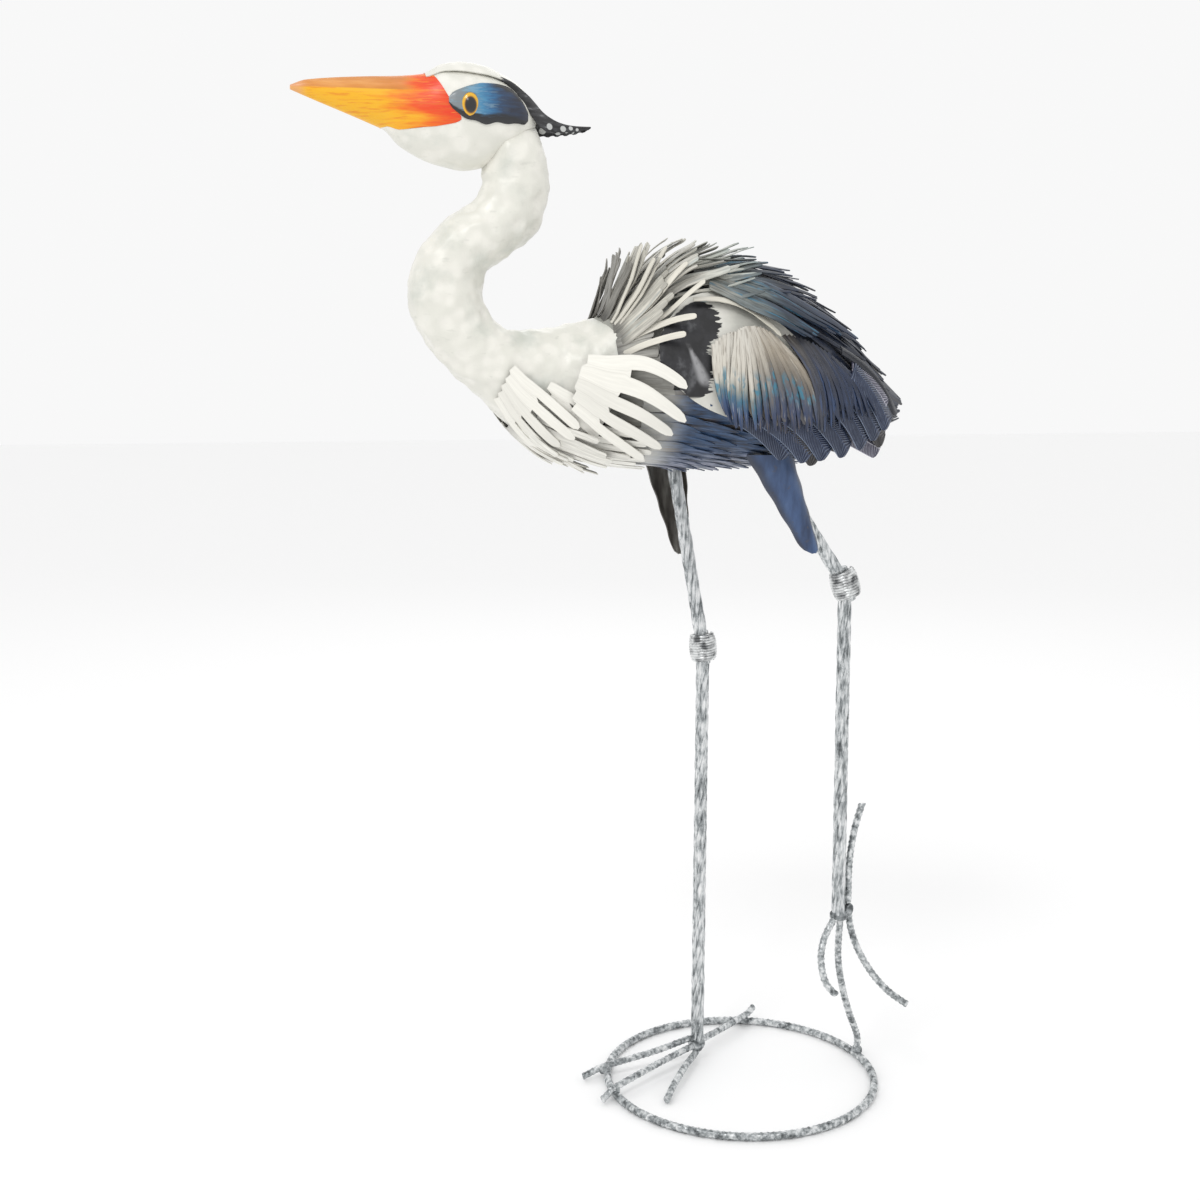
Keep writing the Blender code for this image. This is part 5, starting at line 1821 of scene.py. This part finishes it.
def cut_plate(name, guide, fingers, slots, paints, replaces, slot):
    """A plate cut into round-ended fingers that stay joined at their palm.

    Each finger is (root, tip, root lift, tip lift, half width, bow). slots gives how far along
    each cut between two fingers begins.
    """
    per_finger = 4
    rows = 22
    count = len(fingers)
    columns = count * per_finger + count - 1
    deselect()
    bpy.ops.mesh.primitive_grid_add(x_subdivisions=columns, y_subdivisions=rows, size=1)
    plate = bpy.context.object
    plate.name = name
    take(plate)
    bpy.ops.object.mode_set(mode="EDIT")
    bpy.ops.mesh.select_mode(type="FACE")
    bpy.ops.mesh.select_all(action="DESELECT")
    mesh = bmesh.from_edit_mesh(plate.data)
    for cell in mesh.faces:
        centre = cell.calc_center_median()
        column = int((centre.x + 0.5) * columns)
        along = centre.y + 0.5
        finger, place = divmod(column, per_finger + 1)
        cell.select_set(place == per_finger and along > slots[finger])
    bmesh.update_edit_mesh(plate.data)
    bpy.ops.mesh.delete(type="FACE")
    bpy.ops.object.mode_set(mode="OBJECT")
    draw = random.Random(2)
    tones = [draw.random() for _ in fingers]
    marks = plate.data.attributes.new("lay", "FLOAT_COLOR", "POINT")

    def centre_line(finger, t, more=0.0):
        root, tip, root_lift, tip_lift, _, bow = finger
        side = math.sin(math.pi * min(1.0, t))
        lift = root_lift + (tip_lift - root_lift) * t
        u = root[0] + (tip[0] - root[0]) * t + bow[0] * side
        v = root[1] + (tip[1] - root[1]) * t + bow[1] * side
        return guide(u, v, lift + more)

    for number, vert in enumerate(plate.data.vertices):
        column = round((vert.co.x + 0.5) * columns)
        t = vert.co.y + 0.5
        index, place = divmod(column, per_finger + 1)
        across = 2 * place / per_finger - 1
        finger = fingers[index]
        spot = centre_line(finger, t)
        ahead = (centre_line(finger, t + 0.02) - spot).normalized()
        above = (centre_line(finger, t, 0.001) - spot).normalized()
        side = ahead.cross(above).normalized()
        edge = index + (1 if across > 0 else -1)
        reach = finger[4]
        if 0 <= edge < count:
            gap = slots[min(index, edge)]
            beside = centre_line(fingers[edge], t)
            joined = abs((beside - spot).dot(side)) / 2 * 0.94
            if t > gap - 0.03:
                share = max(0.0, (t - gap) / (1 - gap)) ** 0.8
                reach = min(joined * 0.97, joined * 0.80 + (finger[4] - joined * 0.80) * share)
            else:
                reach = joined
        end = 1.0
        if t > 0.90:
            end = math.sqrt(max(0.0, 1 - ((t - 0.90) / 0.104) ** 2))
        start = min(1.0, 0.86 + 1.6 * t)
        marks.data[number].color = (t, across * 0.5 + 0.5, tones[index], 1.0)
        vert.co = spot + side * across * reach * end * start
    maps = plate.data.uv_layers["UVMap"]
    for loop in plate.data.loops:
        mark = marks.data[loop.vertex_index].color
        maps.data[loop.index].uv = (mark[1] * 1.2 + mark[2] * 30, mark[0] * 6)
    thicken(plate, SHEET, second_paint=len(paints) > 1)
    return settle(plate, paints, replaces, slot)


def degrees(pairs):
    """Pairs whose second value, given in degrees, is turned into radians."""
    return [(x, math.radians(angle)) for x, angle in pairs]


def breast():
    """Hand-shaped plates over the breast, with plumes under them."""
    plate_front = (
        (((-0.2400, 85), (-0.1790, 121)), 0.0032, 0.0085, 0.0046, (0.0, -0.05)),
        (((-0.2430, 97), (-0.1815, 132)), 0.0032, 0.0080, 0.0045, (0.0, -0.03)),
        (((-0.2460, 109), (-0.1930, 144)), 0.0032, 0.0072, 0.0044, (0.0, 0.0)),
        (((-0.2480, 121), (-0.2000, 156)), 0.0032, 0.0064, 0.0042, (0.0, 0.0)),
        (((-0.2500, 133), (-0.2060, 168)), 0.0032, 0.0055, 0.0040, (0.0, 0.0)),
    )
    plate_middle = (
        (((-0.2070, 88), (-0.1580, 116)), 0.0030, 0.0055, 0.0045, (0.0, -0.04)),
        (((-0.2060, 98), (-0.1610, 127)), 0.0030, 0.0052, 0.0045, (0.0, 0.0)),
    )
    plate_rear = (
        (((-0.1720, 67), (-0.0891, 100)), 0.0090, 0.0120, 0.0046, (0.002, -0.10)),
        (((-0.1790, 76), (-0.0879, 119)), 0.0090, 0.0120, 0.0046, (0.0, -0.06)),
        (((-0.1830, 85), (-0.0975, 127)), 0.0090, 0.0120, 0.0045, (0.0, -0.03)),
        (((-0.1850, 94), (-0.1050, 137)), 0.0090, 0.0115, 0.0044, (0.0, 0.0)),
        (((-0.1850, 103), (-0.1180, 147)), 0.0090, 0.0110, 0.0043, (0.0, 0.0)),
    )
    plates = (
        ("breast_plate_front", plate_front, (0.42, 0.40, 0.38, 0.38)),
        ("breast_plate_middle", plate_middle, (0.40,)),
        ("breast_plate_rear", plate_rear, (0.46, 0.42, 0.36, 0.34)),
    )
    for side_name, guide in (("left", shell_point), ("right", mirrored(shell_point))):
        for name, plan, slots in plates:
            fingers = [(*degrees(ends), low, high, half, bow) for ends, low, high, half, bow in plan]
            node = side_name + "_" + name
            paints = [BREAST_PAINT, PRIMER_PAINT]
            cut_plate(node + "_cut", guide, fingers, slots, paints, (node,), "cream")
    draw = random.Random(21)
    throat = fan_out(
        ((-0.2360, 140), (-0.2360, 220)),
        ((-0.1850, 150), (-0.1850, 210)),
        13,
        (0.0015, 0.0110),
        0.0032,
        draw,
        (0.012, 5),
        side_turn=DEGREE,
    )
    throat += fan_out(
        ((-0.2160, 122), (-0.2160, 238)),
        ((-0.1560, 132), (-0.1560, 228)),
        15,
        (0.0018, 0.0130),
        0.0032,
        draw,
        (0.012, 5),
        side_turn=DEGREE,
    )
    paints = [PLUME_PAINT, PRIMER_PAINT]
    bed_feathers("throat_comb_cut", STRIP, shell_point, throat, paints, ("throat_comb",), "cream", seed=22)
    keel = fan_out(
        ((-0.1900, 116), (-0.1900, 244)),
        ((-0.1180, 124), (-0.1180, 236)),
        22,
        (0.0016, 0.0070),
        0.0036,
        draw,
        (0.014, 4),
        side_turn=DEGREE,
    )
    bed_feathers("keel_comb_cut", STRIP, shell_point, keel, paints, ("keel_comb",), "cream", seed=23)


# Root, tip, tip lift, half width, bow, curl, roll. Angles are in degrees, the roll in radians.
NEAR_STRIPS = (
    ((-0.1440, 58), (-0.0800, 65), 0.0180, 0.0029, (0, -1.5), 0.002, 0.0),
    ((-0.1450, 67), (-0.0890, 73), 0.0185, 0.0029, (0, -1.0), 0.002, 0.0),
    ((-0.1440, 52), (-0.0700, 46), 0.0180, 0.0024, (0, 7), 0.004, 0.2),
    ((-0.1440, 43), (-0.0985, 36), 0.0150, 0.0030, (0, 0), 0.0, 0.0),
    ((-0.1450, 36), (-0.0967, 26), 0.0310, 0.0030, (0, 2), 0.0, 0.2),
    ((-0.1460, 32), (-0.1000, 18), 0.0410, 0.0026, (0, 0), 0.0, 0.3),
    ((-0.1430, 47), (-0.0780, 33), 0.0240, 0.0028, (0, 4), 0.0, 0.1),
    ((-0.1430, 40), (-0.0867, 22), 0.0330, 0.0028, (0, 3), 0.0, 0.3),
)


def collar_and_back():
    """Rows of strips that stand up behind the neck and lie down along the back."""
    draw = random.Random(31)
    # Name, place of root, middle tip and side tips, spread at root and tip, count, lifts,
    # half width, lean, paint, slot, side share and last share.
    rows = (
        (
            "collar_comb_front", (-0.1500, -0.1140, -0.1120), (78, 66), 19, (-0.0014, 0.0350),
            0.0033, 1.0, FAR_SHADE_PAINT, "cream", 0.55, 0.30,
        ),
        (
            "collar_strips_second", (-0.1440, -0.0960, -0.0930), (72, 66), 19, (-0.0010, 0.0350),
            0.0032, 0.9, COLLAR_PAINT, None, 0.50, 0.45,
        ),
        (
            "collar_comb_middle", (-0.1330, -0.0680, -0.0700), (70, 62), 22, (0.0010, 0.0310),
            0.0032, 0.7, COLLAR_PAINT, "cream", 0.42, 0.58,
        ),
        (
            "collar_comb_rear", (-0.1130, -0.0360, -0.0460), (60, 56), 21, (0.0016, 0.0250),
            0.0032, 0.4, COLLAR_PAINT, "cream", 0.45, 0.70,
        ),
        (
            "collar_strips_last", (-0.0980, -0.0160, -0.0300), (54, 52), 18, (0.0020, 0.0210),
            0.0031, 0.2, COLLAR_PAINT, None, 0.50, 0.80,
        ),
        (
            "back_comb_front", (-0.0900, -0.0050, -0.0180), (52, 52), 18, (0.0020, 0.0180),
            0.0033, 0.0, BLADE_PAINT, "navy", 0.55, 0.90,
        ),
        (
            "back_strips_second", (-0.0650, 0.0240, 0.0100), (50, 54), 20, (0.0020, 0.0150),
            0.0030, 0.0, BACK_PAINT, None, 0.60, 0.85,
        ),
        (
            "back_comb_middle", (-0.0450, 0.0460, 0.0380), (52, 58), 20, (0.0020, 0.0110),
            0.0030, 0.0, BACK_PAINT, "navy", 0.58, 0.90,
        ),
        (
            "back_comb_rear", (-0.0080, 0.0820, 0.0720), (56, 66), 20, (0.0018, 0.0080),
            0.0029, 0.0, BACK_PAINT, "navy", 0.60, 1.0,
        ),
        (
            "back_strips_last", (0.0150, 0.1020, 0.0920), (60, 76), 20, (0.0018, 0.0055),
            0.0028, 0.0, BACK_PAINT, None, 0.60, 1.0,
        ),
        (
            "rump_comb", (0.0370, 0.1260, 0.1160), (64, 90), 19, (0.0015, 0.0030),
            0.0028, 0.0, BACK_PAINT, "navy", 0.70, 1.0,
        ),
    )
    for number, row in enumerate(rows):
        name, along, wide, count, lifts, half, lean, paint, slot, side_share, last = row
        feathers = across_back(
            along, wide, count, lifts, half, draw, lean, 0.004, side_share, last
        )
        blank = STRIP if number < 4 else BLADE
        paints = [paint, PRIMER_PAINT]
        replaced = (name,) if slot else ()
        bed_feathers(name + "_cut", blank, shell_point, feathers, paints, replaced, slot, seed=40 + number)
    paints = [BACK_PAINT, PRIMER_PAINT]
    for name, root_x, tip_x, turn, count, half in (
        ("rump_strips_side", 0.0700, 0.1280, 130, 30, 0.0040),
        ("tail_root_strips", 0.1020, 0.1480, 172, 28, 0.0036),
    ):
        ends = ((root_x, -turn), (root_x, turn)), ((tip_x, -turn), (tip_x, turn))
        strips = fan_out(*ends, count, (0.0014, 0.0034), half, draw, (0.006, 3.0), side_turn=DEGREE)
        bed_feathers(name + "_cut", BLADE, shell_point, strips, paints, seed=36)
    for side_name, guide in (("left", shell_point), ("right", mirrored(shell_point))):
        strips = [
            (*degrees((root, tip)), -0.0014, lift, half, *degrees((bow,)), curl, roll)
            for root, tip, lift, half, bow, curl, roll in NEAR_STRIPS
        ]
        paints = [BRIGHT_PAINT, PRIMER_PAINT]
        bed_feathers(side_name + "_bright_strips", STRIP, guide, strips, paints, seed=37)
        between = fan_out(
            ((-0.1440, 60), (-0.1450, 30)),
            ((-0.0990, 54), (-0.0900, 22)),
            10,
            (-0.0012, 0.0150),
            0.0031,
            draw,
            (0.005, 2.0),
            curl=0.002,
            side_turn=DEGREE,
        )
        paints = [COLLAR_PAINT, PRIMER_PAINT]
        bed_feathers(side_name + "_collar_strips", STRIP, guide, between, paints, seed=39)
    crown = (
        ((-0.0767, 22), (-0.0133, 24), 0.0170, 0.0150, 0.0030, (0.0, -0.03), 0.004, 0.5),
        ((-0.0400, 22), (0.0200, 28), 0.0070, 0.0125, 0.0018, (0.0, -0.02), 0.002, 0.2),
        ((-0.0060, 28), (0.0480, 26), 0.0050, 0.0085, 0.0016, (0.0, 0.0), 0.002, 0.2),
    )
    long_strips = [(*degrees(feather[:2]), *feather[2:]) for feather in crown]
    bed_feathers("long_back_strips", STRIP, shell_point, long_strips, [BACK_PAINT, PRIMER_PAINT], seed=38)


def flanks_and_belly():
    """Grey strips behind the breast plates, painted darker as shade under the bright strips, long blades
    above the wing, blue belly strips.
    """
    for side_name, guide, seed in (("left", shell_point, 51), ("right", mirrored(shell_point), 61)):
        draw = random.Random(seed)
        grey = fan_out(
            ((-0.1460, 44), (-0.1440, 124)),
            ((-0.1190, 50), (-0.0900, 134)),
            15,
            (-0.0012, 0.0016),
            0.0054,
            draw,
            (0.004, 2.0),
            side_turn=DEGREE,
        )
        paints = [FLANK_SHADE_PAINT, PRIMER_PAINT]
        bed_feathers(side_name + "_flank_comb", STRIP, guide, grey, paints, seed=seed)
        blades = fan_out(
            ((-0.0560, 26), (-0.0620, 44)),
            ((0.0700, 58), (0.0120, 74)),
            15,
            (0.0090, 0.0150),
            0.0029,
            draw,
            (0.008, 1.5),
            bow=(0.0, 3.0),
            curl=0.003,
            side_turn=DEGREE,
        )
        paints = [BLADE_PAINT, PRIMER_PAINT]
        bed_feathers(side_name + "_scapular_comb", BLADE, guide, blades, paints, seed=seed + 1)
    draw = random.Random(71)
    # Name, place of roots and tips, count, lifts.
    rows = (
        ("belly_comb_front", -0.1250, -0.0620, 28, (0.0018, 0.0075)),
        ("belly_strips_second", -0.1020, -0.0380, 28, (0.0018, 0.0080)),
        ("belly_comb_middle", -0.0780, -0.0120, 28, (0.0018, 0.0085)),
        ("belly_strips_fourth", -0.0520, 0.0120, 28, (0.0018, 0.0085)),
        ("belly_comb_rear", -0.0280, 0.0380, 26, (0.0018, 0.0090)),
        ("belly_strips_last", 0.0000, 0.0660, 24, (0.0018, 0.0090)),
    )
    for number, (name, root_x, tip_x, count, lifts) in enumerate(rows):
        strips = fan_out(
            ((root_x, 104), (root_x, 256)),
            ((tip_x, 110), (tip_x, 250)),
            count,
            lifts,
            0.0042,
            draw,
            (0.012, 3.0),
            curl=0.003,
            side_turn=DEGREE,
        )
        replaced, slot = ((name,), "blue") if "comb" in name else ((), None)
        paints = [BELLY_PAINT, PRIMER_PAINT]
        bed_feathers(name + "_cut", JAGGED, shell_point, strips, paints, replaced, slot, seed=72 + number)


def fan_fingers(roots, tips, bows, count, lifts, half, draw, rough=0.003):
    """Fingers of one pleated fan. roots is an arc of three points, bows the first and last bend."""
    fingers = []
    for k in range(count):
        t = k / (count - 1)
        root = [
            roots[0][i] * (1 - t) ** 2 + 2 * roots[1][i] * t * (1 - t) + roots[2][i] * t * t
            for i in (0, 1)
        ]
        tip = [tips[0][i] + (tips[1][i] - tips[0][i]) * t for i in (0, 1)]
        tip[0] += draw.uniform(-rough, rough) * 0.5
        tip[1] += draw.uniform(-rough, rough)
        bow = bows[0] + (bows[1] - bows[0]) * t
        rise = lifts[0] + (lifts[1] - lifts[0]) * t + draw.uniform(-0.0004, 0.0004)
        fingers.append(
            (
                root,
                tip,
                rise,
                rise + draw.uniform(0.001, 0.003),
                half * draw.uniform(0.90, 1.08),
                (bow, 0.0),
                draw.uniform(0.0, 0.003),
                draw.uniform(-0.12, 0.30),
            )
        )
    return fingers


# Place along the wing, lower edge, upper edge of the shoulder plate.
SHOULDER_EDGE = (
    (-0.1120, 0.7220, 0.7420),
    (-0.1040, 0.7080, 0.7560),
    (-0.0950, 0.6980, 0.7660),
    (-0.0800, 0.6860, 0.7780),
    (-0.0600, 0.6760, 0.7820),
    (-0.0400, 0.6700, 0.7780),
    (-0.0200, 0.6700, 0.7700),
    (0.0000, 0.6800, 0.7560),
    (0.0150, 0.7000, 0.7420),
)


def wings():
    """Shoulder plates, pleated coverts, primaries and the tail's feathers on both sides."""
    for side_name, guide, seed in (("left", wing_point, 81), ("right", mirrored(wing_point), 91)):
        draw = random.Random(seed)

        def shoulder(across, along):
            x = SHOULDER_EDGE[0][0] + (SHOULDER_EDGE[-1][0] - SHOULDER_EDGE[0][0]) * along
            lower, upper = stations(SHOULDER_EDGE, x)
            wave = 0.0006 * math.sin(9 * along + 5 * across)
            return guide(x, lower + (upper - lower) * across, LAYER + wave)

        plate = sheet_metal(side_name + "_shoulder_plate_formed", 24, 34, shoulder)
        thicken(plate, SHEET)
        settle(plate, [SHOULDER_PAINT], (side_name + "_shoulder_plate",), "stone")
        brow = [((-0.0790, 0.7725), (-0.0035, 0.7405), 0.0090, 0.0120, 0.0044, (0.004, 0.0110), 0.0, 0.35)]
        paints = [BRIGHT_PAINT, PRIMER_PAINT]
        bed_feathers(side_name + "_brow_strip", BLADE, guide, brow, paints, seed=seed + 7)
        # Name, arc of roots, first and last tip, their bows, count, lifts, half width, paint.
        fans = (
            (
                "covert_fan_front",
                ((-0.0662, 0.7350), (-0.0570, 0.7440), (-0.0459, 0.7447)),
                ((-0.0570, 0.6775), (-0.0470, 0.6640)),
                (-0.0030, -0.0040),
                7,
                (0.0096, 0.0106),
                0.0030,
                FAN_PAINT,
            ),
            (
                "covert_fan_middle",
                ((-0.0459, 0.7435), (-0.0290, 0.7560), (-0.0090, 0.7400)),
                ((-0.0490, 0.6640), (0.0300, 0.6600)),
                (-0.0050, 0.0110),
                14,
                (0.0128, 0.0090),
                0.0033,
                FAN_PAINT,
            ),
            (
                "covert_fan_rear",
                ((0.0000, 0.7420), (0.0300, 0.7400), (0.0700, 0.7080)),
                ((0.0280, 0.6620), (0.0960, 0.6760)),
                (0.0100, 0.0060),
                18,
                (0.0100, 0.0085),
                0.0026,
                DARK_PAINT,
            ),
        )
        for name, roots, tips, bows, count, lifts, half, paint in fans:
            fingers = fan_fingers(roots, tips, bows, count, lifts, half, draw)
            node = side_name + "_" + name
            slot = "navy" if "rear" in name else "stone"
            paints = [paint, PRIMER_PAINT]
            bed_feathers(node + "_cut", POINTED, guide, fingers, paints, (node,), slot, seed=seed + count)
        under = fan_fingers(
            ((-0.0500, 0.7060), (0.0000, 0.7100), (0.0600, 0.7060)),
            ((-0.0380, 0.6660), (0.0900, 0.6760)),
            (0.0, 0.004),
            18,
            (0.0095, 0.0080),
            0.0036,
            draw,
            0.005,
        )
        paints = [DARK_PAINT, PRIMER_PAINT]
        bed_feathers(side_name + "_under_coverts", BLADE, guide, under, paints, seed=seed + 30)
        primaries = []
        tips = (
            (0.0080, 0.6400),
            (0.0290, 0.6370),
            (0.0480, 0.6385),
            (0.0690, 0.6410),
            (0.0900, 0.6475),
            (0.1050, 0.6550),
            (0.1170, 0.6640),
        )
        for k, tip in enumerate(tips):
            lean = math.radians(38 + 1.5 * k)
            length = 0.062 + 0.001 * k
            root = (tip[0] - length * math.cos(lean), tip[1] + length * math.sin(lean))
            lift = 0.0022 + 0.0010 * k
            primaries.append((root, tip, lift, lift + 0.0006, 0.0115, (0.002, 0.002), 0.0, 0.12))
        paints = [PRIMARY_PAINT, PRIMER_PAINT]
        node = side_name + "_primary_comb"
        bed_feathers(node + "_cut", PADDLE, guide, primaries, paints, (node,), "navy", seed=seed + 3)
        black = [
            ((-0.0150, 0.6760), (0.0390, 0.6340), 0.0030, 0.0034, 0.0110, (0.002, 0.002), 0.0, 0.12),
            ((0.0640, 0.6860), (0.1190, 0.6480), 0.0030, 0.0030, 0.0100, (0.002, 0.002), 0.0, 0.1),
        ]
        paints = [BLACK_PRIMARY_PAINT, PRIMER_PAINT]
        bed_feathers(side_name + "_black_primaries", PADDLE, guide, black, paints, seed=seed + 8)
        tail = [
            ((0.0700, 0.7130), (0.1140, 0.6810), 0.0070, 0.0075, 0.0090, (0.002, 0.004), 0.0, 0.0),
            ((0.0680, 0.6860), (0.1240, 0.6560), -0.0006, -0.0004, 0.0100, (0.0, 0.003), 0.0, 0.0),
            ((0.0600, 0.6640), (0.1200, 0.6400), -0.0016, -0.0014, 0.0110, (0.0, 0.0), 0.0, 0.0),
        ]
        paints = [TAIL_PAINT, PRIMER_PAINT]
        node = side_name + "_tail_comb"
        bed_feathers(node + "_cut", PADDLE, guide, tail, paints, (node,), "navy", seed=seed + 4)
        edge = [((0.0600, 0.7300), (0.1320, 0.6730), 0.0080, 0.0060, 0.0050, (0.004, 0.006), 0.0, 0.25)]
        paints = [EDGE_PAINT, PRIMER_PAINT]
        bed_feathers(side_name + "_tail_edge_feather", PADDLE, guide, edge, paints, seed=seed + 5)


VIEW_TURN = math.radians(15)
VIEW_PITCH = math.radians(8.2)
VIEW_ASIDE = -0.1427
VIEW_BACK = -1.538
VIEW_HEIGHT = 0.714
SENSOR_WIDTH = 36.0
PHOTO_WIDTH = 1200
FOCAL_PIXELS = 1590


def studio():
    """Plain pale floor, soft light and the photograph's viewpoint."""
    deselect()
    bpy.ops.mesh.primitive_plane_add(size=30.0, location=(0, 0, -0.0004))
    floor = bpy.context.object
    floor.name = "studio_floor"
    pale, _, shader = new_paint("pale_floor", 0.9)
    shader.inputs["Base Color"].default_value = (0.97, 0.97, 0.97, 1.0)
    floor.data.materials.append(pale)
    world = bpy.data.worlds.new("soft_white")
    bpy.context.scene.world = world
    world.use_nodes = True
    sky = world.node_tree.nodes["Background"]
    sky.inputs["Color"].default_value = (1.0, 1.0, 1.0, 1.0)
    sky.inputs["Strength"].default_value = 0.94
    for name, place, size, power in (
        ("key_light", (-1.4, -1.6, 2.9), 0.8, 20.0),
        ("back_light", (0.8, 2.4, 2.2), 1.6, 6.0),
    ):
        light = bpy.data.lights.new(name, "AREA")
        light.size = size
        light.energy = power
        lamp = bpy.data.objects.new(name, light)
        lamp.location = place
        aim = Vector((0, 0, 0.55)) - Vector(place)
        lamp.rotation_euler = aim.to_track_quat("-Z", "Y").to_euler()
        bpy.context.collection.objects.link(lamp)
    across = VIEW_ASIDE * math.cos(VIEW_TURN) + VIEW_BACK * math.sin(VIEW_TURN)
    back = VIEW_BACK * math.cos(VIEW_TURN) - VIEW_ASIDE * math.sin(VIEW_TURN)
    place = Vector((across, back, VIEW_HEIGHT)) + GROUND
    lens = bpy.data.cameras.new("viewpoint")
    lens.sensor_width = SENSOR_WIDTH
    lens.lens = SENSOR_WIDTH * FOCAL_PIXELS / PHOTO_WIDTH
    camera = bpy.data.objects.new("viewpoint", lens)
    yaw = Matrix.Rotation(-VIEW_TURN, 4, "Z")
    tilt = Matrix.Rotation(math.pi / 2 - VIEW_PITCH, 4, "X")
    camera.matrix_world = Matrix.Translation(place) @ yaw @ tilt
    bpy.context.collection.objects.link(camera)
    bpy.context.scene.camera = camera
    bpy.context.scene.view_settings.view_transform = "Standard"


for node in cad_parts.values():
    if node.name == "body_shell":
        node.data.materials.clear()
        node.data.materials.append(BODY_SHADE_PAINT)

stand()
thigh_plate("left_thigh_plate", LEFT_THIGH_TOP, LEFT_THIGH_TIP, -1, [INNER_PAINT, THIGH_PAINT])
thigh_plate("right_thigh_plate", RIGHT_THIGH_TOP, RIGHT_THIGH_TIP, 1, [INNER_PAINT, THIGH_PAINT])
neck()
head()
face("left", 1)
face("right", -1)
crest()
breast()
collar_and_back()
flanks_and_belly()
wings()
for blank in (STRIP, BLADE, JAGGED, POINTED, PADDLE):
    bpy.data.objects.remove(blank)
studio()
